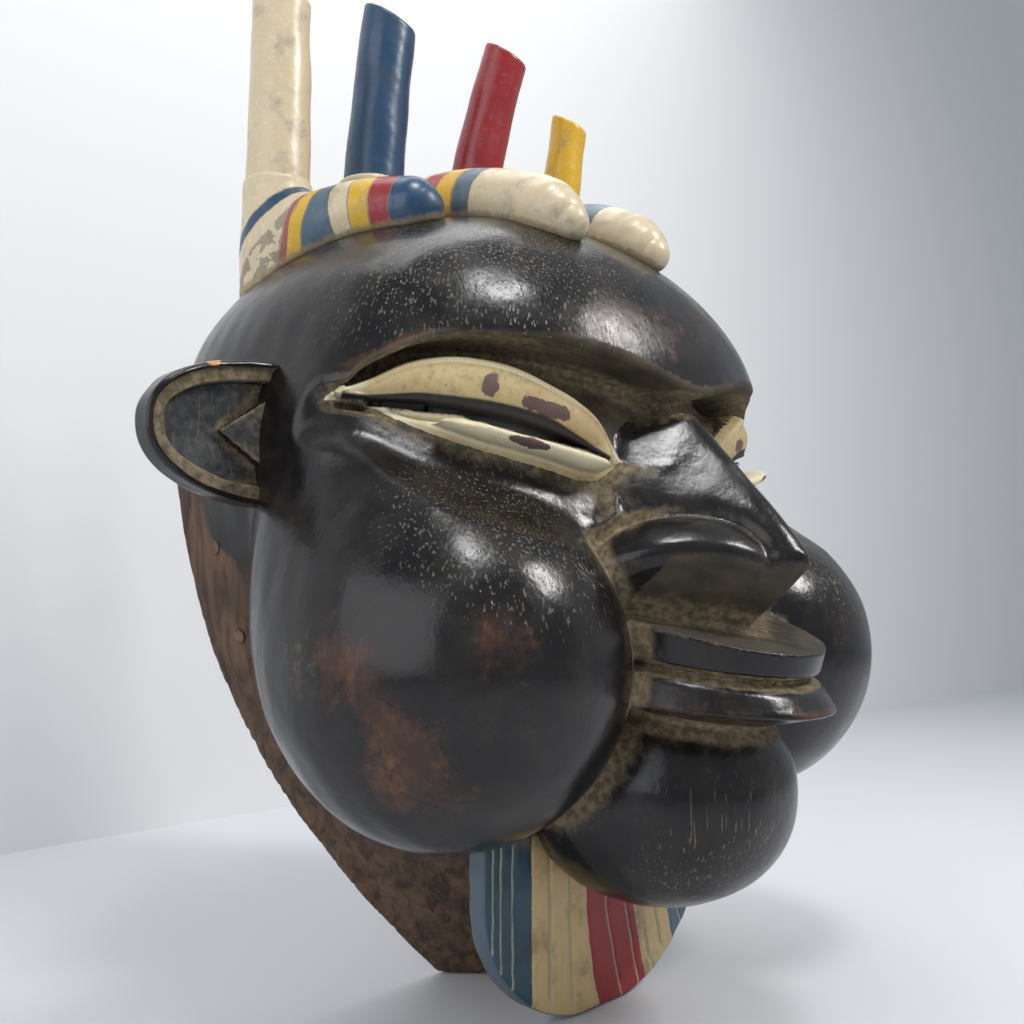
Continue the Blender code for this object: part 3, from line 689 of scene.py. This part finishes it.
def tail_line(serpent, steps=10):
    x, y = serpent["rear"]
    foot, _ = on_crown(x, y, 0.30 * serpent["radius"])
    rise = serpent["top"] - foot[2] + 0.15
    points = []
    for k in range(steps + 1):
        share = k / steps
        lean = np.array((serpent["lean"][0], -serpent["lean"][1], 0)) * share**TAIL_BEND
        points.append(foot + lean + np.array((0, 0, rise * share)))
    return points


def serpent_line(serpent, steps=14):
    """From inside the tail's foot, bending onto the crown, to the rounded head."""
    rear, front = np.array(serpent["rear"]), np.array(serpent["front"])
    points, radii = [], []
    for k in range(steps + 1):
        share = 0.13 + 0.87 * math.sin(math.pi / 2 * k / steps)
        place = rear + (front - rear) * share
        girth = serpent["radius"] * (0.66 + 0.60 * min(1, share / 0.35) - 0.42 * share)
        points.append(on_crown(place[0], place[1], 0.35 * girth)[0])
        end = max(0.0, (share - 0.90) / 0.10)
        radii.append(girth * math.sqrt(max(0.35, 1 - end * end)))
    return points, radii


def along_line(p, points, radii):
    """Distance to a chain of cones, and the length along it of the nearest point."""
    best = np.full(p[0].shape, 1e3, np.float32)
    length = np.zeros_like(best)
    run = 0.0
    for a, b, ra, rb in zip(points, points[1:], radii, radii[1:]):
        d = b - a
        size = np.linalg.norm(d)
        t = unit(sum((p[i] - a[i]) * d[i] for i in range(3)) / (d @ d))
        gap = np.sqrt(sum((p[i] - a[i] - t * d[i]) ** 2 for i in range(3))) - (ra + (rb - ra) * t)
        closer = gap < best
        best = np.where(closer, gap, best)
        length = np.where(closer, run + t * size, length)
        run += size
    return best, length, run


def crown_only(p):
    return egg(p, CROWN, CROWN_RADII, CROWN_POWER)


def tail_body(serpent, p):
    """Distance to the tail's leaning, tapering column."""
    points = tail_line(serpent)
    foot, top = points[0], points[-1]
    share = (p[2] - foot[2]) / (top[2] - foot[2])
    bend = np.clip(share, 0, 1.2) ** TAIL_BEND
    x = p[0] - foot[0] - serpent["lean"][0] * bend
    y = p[1] - foot[1] + serpent["lean"][1] * bend
    radius = serpent["tail"] * (1.10 - 0.17 * np.clip(share, 0, 1.1))
    return (np.hypot(x, y * 1.05) - radius) * 0.95


def tail_shape(serpent):
    points = tail_line(serpent)
    tip = points[-1] - np.array((0, 0, 0.21))
    slant = Matrix.Rotation(math.radians(28), 3, "X") @ Matrix.Rotation(0.2, 3, "Y")
    saw = np.array(slant @ Vector((0, 0, 1)))

    def shape(p):
        body = tail_body(serpent, p)
        flare = -0.03 * step(points[0][2] + 0.50 - p[2], 0, 0.06)
        end = sum((p[i] - tip[i]) * saw[i] for i in range(3))
        return common(common(body - flare, end, 0.03), -crown_only(p) - 0.02, 0.02)
    return shape


def stripe_place(serpent, p):
    """0 at the tail's foot, 1 at the serpent's front; the bands fan out round the bend."""
    points, _ = serpent_line(serpent)
    foot = points[0]
    turn = [foot + np.array((0, 0, 0.36)) + (points[4] - foot) * 0.05,
            foot + np.array((0, 0, 0.17)) + (points[4] - foot) * 0.35]
    spine = [foot + np.array((0, 0, h)) for h in (1.6, 0.62)] + turn + points[4:]
    lengths = [float(np.linalg.norm(b - a)) for a, b in zip(spine, spine[1:])]
    _, length, run = along_line(p, spine, [0.1] * len(spine))
    return (length - lengths[0]) / (run - lengths[0])


def serpent_shape(serpent):
    points, radii = serpent_line(serpent)
    collar_top = points[0][2] + 0.50

    def shape(p):
        body, _, _ = along_line(p, points, radii)
        post = common(tail_body(serpent, p) - serpent["collar"], p[2] - collar_top, 0.05)
        return common(join(body, post, 0.24), -crown_only(p) - 0.015, 0.03)
    return shape


def crest_detail(p):
    return 0.005 * waves(p, 0.45, 12) + 0.0008 * waves(p, 0.12, 13)


def carve_crest(number, serpent):
    points, _ = serpent_line(serpent)
    low = np.min(points, axis=0) - 0.55
    high = np.max(points, axis=0) + np.array((0.55, 0.55, 0.95))
    snake, p, normals, total = sculpt(f"carved_serpent_{number}", serpent_shape(serpent), low, high,
                                      SERPENT_VOXEL, None, crest_detail)
    seam = step(0.10 - crown_only(p), 0, 0.09)
    corner = edges(p, normals, total, 0.03)
    head_point = points[-1]
    eye_spot = near(p, head_point + np.array((-0.10, 0.16, 0.20)), 0.17)
    paint_mask(snake, "mask_s", 0.25 + 0.5 * stripe_place(serpent, p), seam, eye_spot)
    paint_mask(snake, "mask_a", hollows(p, normals, total, 0.05), corner, 0)
    points = tail_line(serpent)
    low = np.min(points, axis=0) - 0.4
    high = np.max(points, axis=0) + 0.4
    tail, p, normals, total = sculpt(f"carved_tail_{number}", tail_shape(serpent), low, high, TAIL_VOXEL,
                                     None, crest_detail)
    end = step(normals[2], 0.55, 0.75)
    low_dust = step(points[0][2] + 0.9 - p[2], 0, 0.7)
    paint_mask(tail, "mask_s", end, low_dust * 0.5, 0)
    paint_mask(tail, "mask_a", hollows(p, normals, total, 0.05), edges(p, normals, total, 0.03), 0)
    return snake, tail


# ---- Materials ----
class Look:
    """Writes one material's nodes."""

    def __init__(self, name):
        self.material = bpy.data.materials.new(name)
        self.material.use_nodes = True
        self.tree = self.material.node_tree
        self.shader = self.tree.nodes["Principled BSDF"]
        self.place = self.node("ShaderNodeTexCoord").outputs["Object"]

    def node(self, kind, feeds=None, **settings):
        made = self.tree.nodes.new(kind)
        for key, value in settings.items():
            setattr(made, key, value)
        for key, value in (feeds or {}).items():
            self.feed(made.inputs[key], value)
        return made

    def feed(self, socket, value):
        if isinstance(value, bpy.types.NodeSocket):
            self.tree.links.new(value, socket)
        else:
            socket.default_value = value

    def maths(self, operation, a, b=0.0):
        return self.node("ShaderNodeMath", {0: a, 1: b}, operation=operation).outputs[0]

    def plus(self, a, b):
        return self.maths("ADD", a, b)

    def minus(self, a, b):
        return self.maths("SUBTRACT", a, b)

    def times(self, a, b):
        return self.maths("MULTIPLY", a, b)

    def frayed(self, mask, noise, amount):
        """A mask whose edge wanders with the noise."""
        swing = self.times(self.minus(noise, 0.5), amount)
        return self.plus(mask, swing)

    def noise(self, scale, detail=4.0, rough=0.55, stretch=(1, 1, 1), turn=(0, 0, 0), warp=0.0):
        place = self.node("ShaderNodeMapping", {"Vector": self.place, "Rotation": turn, "Scale": stretch})
        feeds = {"Vector": place.outputs[0], "Scale": scale, "Detail": detail, "Roughness": rough,
                 "Distortion": warp}
        return self.node("ShaderNodeTexNoise", feeds).outputs["Fac"]

    def level(self, value, low, high, to_low=0.0, to_high=1.0):
        feeds = {"Value": value, "From Min": low, "From Max": high, "To Min": to_low, "To Max": to_high}
        return self.node("ShaderNodeMapRange", feeds, interpolation_type="SMOOTHSTEP").outputs[0]

    def mix(self, amount, a, b):
        made = self.node("ShaderNodeMix", data_type="RGBA")
        for socket, value in ((0, amount), (6, a), (7, b)):
            self.feed(made.inputs[socket], (*value, 1) if isinstance(value, tuple) else value)
        return made.outputs[2]

    def patches(self, value, low, high, a, b):
        return self.mix(self.level(value, low, high), a, b)

    def blend(self, amount, a, b):
        return self.node("ShaderNodeMix", {0: amount, 2: a, 3: b}, data_type="FLOAT").outputs[0]

    def shade(self, colour, value, saturation=1.0):
        feeds = {"Saturation": saturation, "Value": value, "Color": colour}
        return self.node("ShaderNodeHueSaturation", feeds).outputs[0]

    def mask(self, name):
        found = self.node("ShaderNodeAttribute", attribute_name=name)
        split = self.node("ShaderNodeSeparateColor", {0: found.outputs["Color"]})
        return split.outputs[0], split.outputs[1], split.outputs[2]

    def stripes(self, value, stops):
        made = self.node("ShaderNodeValToRGB", {0: value})
        ramp = made.color_ramp
        ramp.interpolation = "CONSTANT"
        while len(ramp.elements) > 1:
            ramp.elements.remove(ramp.elements[0])
        ramp.elements[0].position = 0
        ramp.elements[0].color = (*stops[0][1], 1)
        for place, colour in stops[1:]:
            ramp.elements.new(place).color = (*colour, 1)
        return made.outputs[0]

    def bump(self, height, strength, distance, under=None):
        feeds = {"Height": height, "Strength": strength, "Distance": distance}
        if under is not None:
            feeds["Normal"] = under
        return self.node("ShaderNodeBump", feeds).outputs[0]

    def finish(self, colour, rough, normal, coat=0.0):
        self.feed(self.shader.inputs["Base Color"], colour)
        self.feed(self.shader.inputs["Roughness"], rough)
        self.feed(self.shader.inputs["Normal"], normal)
        self.shader.inputs["Coat Weight"].default_value = coat
        self.shader.inputs["Coat Roughness"].default_value = 0.25
        return self.material


BLACK, SOOT = (0.0055, 0.0048, 0.0052), (0.015, 0.012, 0.011)
BROWN, RUST = (0.055, 0.022, 0.012), (0.20, 0.075, 0.026)
DUST, PALE = (0.12, 0.090, 0.052), (0.29, 0.225, 0.135)
# The pale ivory below is a painted highlight on the eyelids' raised edges.
CREAM, IVORY_HIGHLIGHT = (0.50, 0.385, 0.19), (0.70, 0.62, 0.42)


def dark_wood():
    look = Look("patinated_wood")
    dust, corner, wear = look.mask("mask_a")
    eye, chipped, matt = look.mask("mask_b")
    raw, groove, scratched = look.mask("mask_c")
    dish, chip, _ = look.mask("mask_d")
    big = look.noise(11, 3)
    mid = look.noise(48, 5, 0.6)
    small = look.noise(260, 4, 0.6)
    grain = look.noise(520, 3, 0.6, (1, 1, 0.09), (0.05, 0.03, 0), 0.4)
    fibre = look.noise(150, 4, 0.65, (1, 1, 0.10), (0.04, -0.03, 0), 0.6)
    colour = look.patches(mid, 0.35, 0.7, BLACK, SOOT)
    haze = look.times(look.level(look.noise(17, 5, 0.65), 0.45, 0.80), 0.22)
    colour = look.mix(haze, colour, (0.045, 0.041, 0.038))
    brown = look.patches(look.noise(70, 4), 0.38, 0.68, BROWN, RUST)
    brown = look.patches(grain, 0.35, 0.7, brown, BROWN)
    worn = look.frayed(wear, look.noise(33, 6, 0.62), 2.6)
    worn = look.frayed(worn, small, 0.9)
    worn_soft = look.level(worn, 0.45, 1.35)
    colour = look.mix(look.times(worn_soft, 0.75), colour, brown)
    rub = look.frayed(corner, mid, 1.3)
    rubbed = look.level(rub, 0.55, 0.98)
    colour = look.mix(look.times(rubbed, 0.62), colour, (0.13, 0.055, 0.024))
    wood = look.patches(fibre, 0.32, 0.68, (0.040, 0.024, 0.016), (0.145, 0.085, 0.052))
    wood = look.patches(big, 0.40, 0.70, wood, (0.055, 0.038, 0.027))
    wood = look.mix(look.times(look.level(grain, 0.62, 0.78), 0.6), wood, (0.022, 0.014, 0.010))
    olive = look.patches(mid, 0.35, 0.7, (0.042, 0.034, 0.022), (0.095, 0.075, 0.045))
    colour = look.mix(look.times(matt, 0.85), colour, olive)
    colour = look.mix(raw, colour, wood)
    slate = look.patches(small, 0.35, 0.7, (0.032, 0.034, 0.036), (0.085, 0.087, 0.088))
    colour = look.mix(look.times(dish, 0.85), colour, slate)
    lime = look.patches(small, 0.35, 0.65, DUST, PALE)
    sift = look.frayed(dust, look.noise(120, 6, 0.7), 1.1)
    dusty = look.times(look.level(sift, 0.18, 0.95), 0.88)
    colour = look.mix(dusty, colour, lime)
    cream = look.patches(mid, 0.35, 0.65, (0.42, 0.31, 0.155), CREAM)
    cream = look.mix(look.times(look.level(small, 0.5, 0.72), 0.45), cream, (0.24, 0.165, 0.085))
    # The cream turns ivory on the lids' raised edges: a painted highlight.
    cream = look.patches(corner, 0.25, 0.6, cream, IVORY_HIGHLIGHT)
    flake = look.frayed(chipped, look.noise(85, 5, 0.6), 1.7)
    flaked = look.level(flake, 0.70, 0.76)
    cream = look.mix(flaked, cream, look.mix(mid, (0.06, 0.035, 0.036), (0.17, 0.105, 0.085)))
    cream = look.patches(look.noise(620, 2), 0.70, 0.76, cream, (0.10, 0.06, 0.035))
    # The slit's dark band: partly dark paint on the lid's edge, partly painted shade under the overhanging
    # lid.
    cream = look.mix(groove, cream, (0.022, 0.018, 0.016))
    ragged = look.level(look.frayed(eye, small, 0.7), 0.4, 0.6)
    colour = look.mix(ragged, colour, cream)
    ticks = look.noise(760, 1, 0.5, (1, 1, 0.05), (0.30, 0.35, 0.1), 0.1)
    stroke = look.level(look.plus(ticks, look.times(scratched, 0.085)), 0.660, 0.72)
    stroke = look.times(stroke, look.level(scratched, 0.02, 0.35))
    colour = look.mix(look.times(stroke, 0.42), colour, (0.22, 0.18, 0.12))
    colour = look.patches(chip, 0.25, 0.5, colour, (0.55, 0.24, 0.07))
    rough = look.blend(look.level(mid, 0.3, 0.7), 0.16, 0.27)
    for mask, value in ((haze, 0.60), (worn_soft, 0.42), (matt, 0.78), (raw, 0.74), (dish, 0.55),
                        (dusty, 0.85), (ragged, 0.62)):
        rough = look.blend(mask, rough, value)
    height = look.times(grain, look.blend(raw, 0.30, 1.0))
    height = look.plus(height, look.times(look.times(fibre, raw), 1.6))
    height = look.plus(height, look.times(small, look.blend(dusty, 0.25, 1.2)))
    height = look.minus(height, look.times(flaked, look.times(eye, 1.2)))
    height = look.minus(height, look.times(stroke, 0.8))
    broad = look.bump(look.noise(60, 3), 0.10, 0.004)
    normal = look.bump(height, 0.32, 0.0009, broad)
    look.shader.inputs["Specular IOR Level"].default_value = 0.38
    return look.finish(colour, rough, normal)


BLUE, TEAL, STEEL = (0.014, 0.052, 0.115), (0.016, 0.058, 0.085), (0.070, 0.115, 0.165)
RED, ROSE = (0.28, 0.016, 0.020), (0.36, 0.065, 0.065)
YELLOW, PAINT_CREAM = (0.62, 0.37, 0.015), (0.60, 0.49, 0.32)
OCHRE, DULL_OCHRE = (0.56, 0.40, 0.19), (0.46, 0.345, 0.18)


def painted(name, stops, eye_spot=False):
    """Old oil paint in stripes: worn edges, chips to the wood, dirt in the seams."""
    look = Look(name)
    share, seam, spot = look.mask("mask_s")
    crease, corner, _ = look.mask("mask_a")
    mid = look.noise(60, 5, 0.6)
    small = look.noise(300, 4, 0.65)
    place = look.frayed(share, look.noise(110, 3), 0.012)
    colour = look.stripes(place, stops)
    ahead = look.stripes(look.plus(place, 0.004), stops)
    change = look.node("ShaderNodeVectorMath", {0: colour, 1: ahead}, operation="DISTANCE").outputs["Value"]
    line = look.level(change, 0.02, 0.10)
    tinted = look.shade(colour, 0.62, 0.80)
    pale = look.shade(colour, 1.30, 0.75)
    colour = look.patches(mid, 0.50, 0.75, colour, tinted)
    colour = look.mix(look.times(look.level(small, 0.52, 0.75), 0.5), colour, pale)
    colour = look.mix(look.times(line, 0.7), colour, (0.16, 0.12, 0.08))
    if eye_spot:
        colour = look.patches(spot, 0.45, 0.6, colour, (0.02, 0.017, 0.016))
    worn = look.frayed(corner, look.noise(140, 5, 0.65), 1.6)
    chips = look.level(worn, 0.80, 0.86)
    colour = look.mix(chips, colour, look.mix(mid, (0.10, 0.055, 0.03), (0.36, 0.25, 0.14)))
    seam_tone = look.frayed(look.maths("MAXIMUM", seam, crease), look.noise(170, 5, 0.7), 1.1)
    seam_toned = look.times(look.level(seam_tone, 0.42, 0.95), 0.85)
    colour = look.mix(seam_toned, colour, look.mix(small, (0.17, 0.125, 0.075), (0.44, 0.35, 0.21)))
    rough = look.blend(look.level(mid, 0.3, 0.7), 0.26, 0.44)
    rough = look.blend(seam_toned, rough, 0.85)
    rough = look.blend(chips, rough, 0.7)
    height = look.plus(look.times(small, 0.35), look.times(mid, 0.8))
    height = look.minus(height, look.times(chips, 0.9))
    height = look.plus(height, look.times(seam_toned, look.times(small, 2.0)))
    height = look.minus(height, look.times(line, 0.5))
    normal = look.bump(height, 0.35, 0.0007)
    return look.finish(colour, rough, normal, 0.12)


def stripe_stops(*bands):
    """Bands given by their start along the serpent, as stops for the stored mask."""
    return [(0, PAINT_CREAM)] + [(0.25 + 0.5 * start, colour) for start, colour in bands]


def beard_paint():
    look = Look("beard_bands")
    share, gap, _ = look.mask("mask_s")
    groove, corner, side = look.mask("mask_a")
    mid = look.noise(55, 5, 0.6)
    small = look.noise(320, 5, 0.7)
    fibre = look.noise(300, 4, 0.65, (1, 1, 0.12))
    bands = zip(BEARD_EDGES, (OCHRE, RED, DULL_OCHRE, STEEL))
    stops = [(0.0, TEAL)] + [((edge + 1.2) / 2.4, colour) for edge, colour in bands]
    place = look.frayed(share, small, 0.004)
    colour = look.stripes(place, stops)
    dark = look.shade(colour, 0.58)
    colour = look.patches(mid, 0.48, 0.72, colour, dark)
    colour = look.mix(look.times(look.level(fibre, 0.55, 0.75), 0.35), colour, dark)
    line = look.level(look.frayed(groove, mid, 0.9), 0.45, 0.75)
    colour = look.mix(look.times(line, 0.8), colour, (0.46, 0.41, 0.29))
    # Along the top, under the chin, the bands are mixed towards a dull brown.
    seam_tone = look.frayed(gap, look.noise(90, 6, 0.7), 1.3)
    seam_toned = look.times(look.level(seam_tone, 0.35, 1.0), 0.85)
    colour = look.mix(seam_toned, colour, look.mix(small, (0.12, 0.095, 0.06), (0.30, 0.24, 0.15)))
    worn = look.frayed(corner, look.noise(160, 5, 0.65), 1.7)
    chips = look.level(worn, 0.78, 0.85)
    slate = look.mix(mid, (0.05, 0.085, 0.12), (0.11, 0.14, 0.16))
    colour = look.mix(side, colour, slate)
    colour = look.mix(chips, colour, look.mix(small, (0.045, 0.04, 0.038), (0.15, 0.13, 0.10)))
    rough = look.blend(mid, 0.34, 0.60)
    rough = look.blend(seam_toned, rough, 0.85)
    height = look.plus(look.times(small, 0.8), look.times(fibre, 0.6))
    height = look.minus(height, look.times(chips, 0.8))
    return look.finish(colour, rough, look.bump(height, 0.40, 0.0007))


def peg_wood():
    look = Look("peg_wood")
    mid = look.noise(120, 5, 0.6)
    grain = look.noise(700, 4, 0.6, (1, 0.15, 1))
    colour = look.patches(mid, 0.35, 0.7, (0.06, 0.036, 0.022), (0.17, 0.105, 0.062))
    colour = look.patches(grain, 0.58, 0.74, colour, (0.03, 0.02, 0.014))
    rough = look.blend(mid, 0.62, 0.82)
    return look.finish(colour, rough, look.bump(grain, 0.5, 0.0006))


def wear_finish(made, look, body="root"):
    made.data.materials.clear()
    made.data.materials.append(look)
    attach(made, body)


# ---- The object ----
def build_object():
    wood = dark_wood()
    head_piece = carve_head()
    wear_finish(head_piece, wood)
    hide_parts("mask_body")
    for side, node in ((-1, "ear_right"), (1, "ear_left")):
        piece = carve_ear(side, node)
        wear_finish(piece, wood)
        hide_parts(node)
    piece = carve_beard()
    wear_finish(piece, beard_paint())
    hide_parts("beard_plate")
    first = stripe_stops((0.20, BLUE), (0.255, PAINT_CREAM), (0.343, ROSE), (0.375, YELLOW), (0.46, STEEL),
                         (0.58, PAINT_CREAM), (0.68, YELLOW), (0.79, RED), (0.90, BLUE))
    rest = stripe_stops((0.10, BLUE), (0.15, PAINT_CREAM), (0.42, ROSE), (0.50, YELLOW), (0.58, STEEL),
                        (0.66, PAINT_CREAM))
    third = stripe_stops((0.10, BLUE), (0.15, PAINT_CREAM), (0.52, ROSE), (0.60, YELLOW), (0.70, STEEL),
                         (0.79, PAINT_CREAM))
    tails = ((PAINT_CREAM, "cream_paint"), (BLUE, "blue_paint"), (RED, "red_paint"), (YELLOW, "yellow_paint"))
    for number, serpent in enumerate(SERPENTS, 1):
        snake, tail = carve_crest(number, serpent)
        stops = (first, rest, third, third)[number - 1]
        wear_finish(snake, painted(f"stripes_{number}", stops, number == 2))
        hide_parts(f"crest_serpent_{number}")
        colour, slot = tails[number - 1]
        wear_finish(tail, painted(f"tail_{slot}", [(0, colour)]))
        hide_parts(f"crest_tail_{number}")
    plain = peg_wood()
    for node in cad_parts:
        if "dowel" in node or "peg" in node:
            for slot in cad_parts[node].material_slots:
                slot.material = plain


# ---- Stage, camera and light ----
WALL_BEHIND, STAGE_REACH = 5.65, 60


def stage_look(name, dark, pale, patch, rough, grain):
    look = Look(name)
    tone = look.mix(look.noise(patch, 3), dark, pale)
    look.finish(tone, look.blend(look.noise(3, 2), *rough), look.bump(look.noise(grain, 3), 0.02, 0.001))
    return look


def build_stage():
    """A pale floor and a pale wall, which is clear from behind so that the mask's back can be seen."""
    floor_look = stage_look("stage_floor", (0.66, 0.67, 0.70), (0.72, 0.73, 0.76), 1.2, (0.50, 0.62), 90)
    wall_look = stage_look("stage_wall", (0.74, 0.745, 0.75), (0.79, 0.79, 0.79), 1.0, (0.70, 0.85), 50)
    tree = wall_look.tree
    facing = wall_look.node("ShaderNodeNewGeometry").outputs["Backfacing"]
    clear = wall_look.node("ShaderNodeBsdfTransparent").outputs[0]
    swap = wall_look.node("ShaderNodeMixShader", {0: facing, 1: wall_look.shader.outputs[0], 2: clear})
    tree.links.new(swap.outputs[0], tree.nodes["Material Output"].inputs[0])
    far, back = STAGE_REACH, WALL_BEHIND
    floor = ((-far, -far, 0), (far, -far, 0), (far, back, 0), (-far, back, 0))
    wall = ((-far, back, 0), (far, back, 0), (far, back, far), (-far, back, far))
    for name, corners, look in (("floor", floor, floor_look), ("wall", wall, wall_look)):
        mesh = bpy.data.meshes.new(name)
        mesh.from_pydata([Vector(corner) * U for corner in corners], [], [(0, 1, 2, 3)])
        mesh.materials.append(look.material)
        made = bpy.data.objects.new(name, mesh)
        bpy.context.scene.collection.objects.link(made)


def build_camera():
    lens = bpy.data.cameras.new("camera")
    lens.lens, lens.sensor_width = 36 * 1025 / 1024, 36
    made = bpy.data.objects.new("camera", lens)
    bpy.context.scene.collection.objects.link(made)
    made.location = Vector((-5.187, -5.446, 2.55)) * U
    rise = math.radians(4.9)
    ahead = Vector((math.cos(rise) / math.sqrt(2), math.cos(rise) / math.sqrt(2), math.sin(rise)))
    made.rotation_euler = ahead.to_track_quat("-Z", "Y").to_euler()
    lens.clip_start, lens.clip_end = 0.01, 50
    bpy.context.scene.camera = made


def area_light(name, place, target, width, height, power, colour=(1, 1, 1)):
    lamp = bpy.data.lights.new(name, "AREA")
    lamp.shape, lamp.size, lamp.size_y = "RECTANGLE", width, height
    lamp.energy, lamp.color = power, colour
    made = bpy.data.objects.new(name, lamp)
    bpy.context.scene.collection.objects.link(made)
    made.location = Vector(place) * U
    made.rotation_euler = (Vector(target) * U - made.location).to_track_quat("-Z", "Y").to_euler()


def build_light():
    world = bpy.context.scene.world or bpy.data.worlds.new("world")
    bpy.context.scene.world = world
    world.use_nodes = True
    world.node_tree.nodes["Background"].inputs[0].default_value = (0.82, 0.88, 0.95, 1)
    world.node_tree.nodes["Background"].inputs[1].default_value = 0.48
    bpy.context.scene.view_settings.view_transform = "Standard"
    area_light("window", (7, -12, 15), (0, -1, 3), 0.26, 0.42, 12, (1.0, 0.98, 0.95))
    area_light("ceiling", (-2, -6, 19), (0, 0, 3), 0.30, 0.30, 7)
    area_light("backdrop", (3, 3.6, 17), (3, 4.6, 0), 1.2, 0.3, 3)
    area_light("left_fill", (-16, -3, 9), (0, 0, 3), 1.2, 1.2, 8, (0.95, 0.97, 1.0))


build_object()
build_stage()
build_camera()
build_light()

bpy.context.view_layer.update()
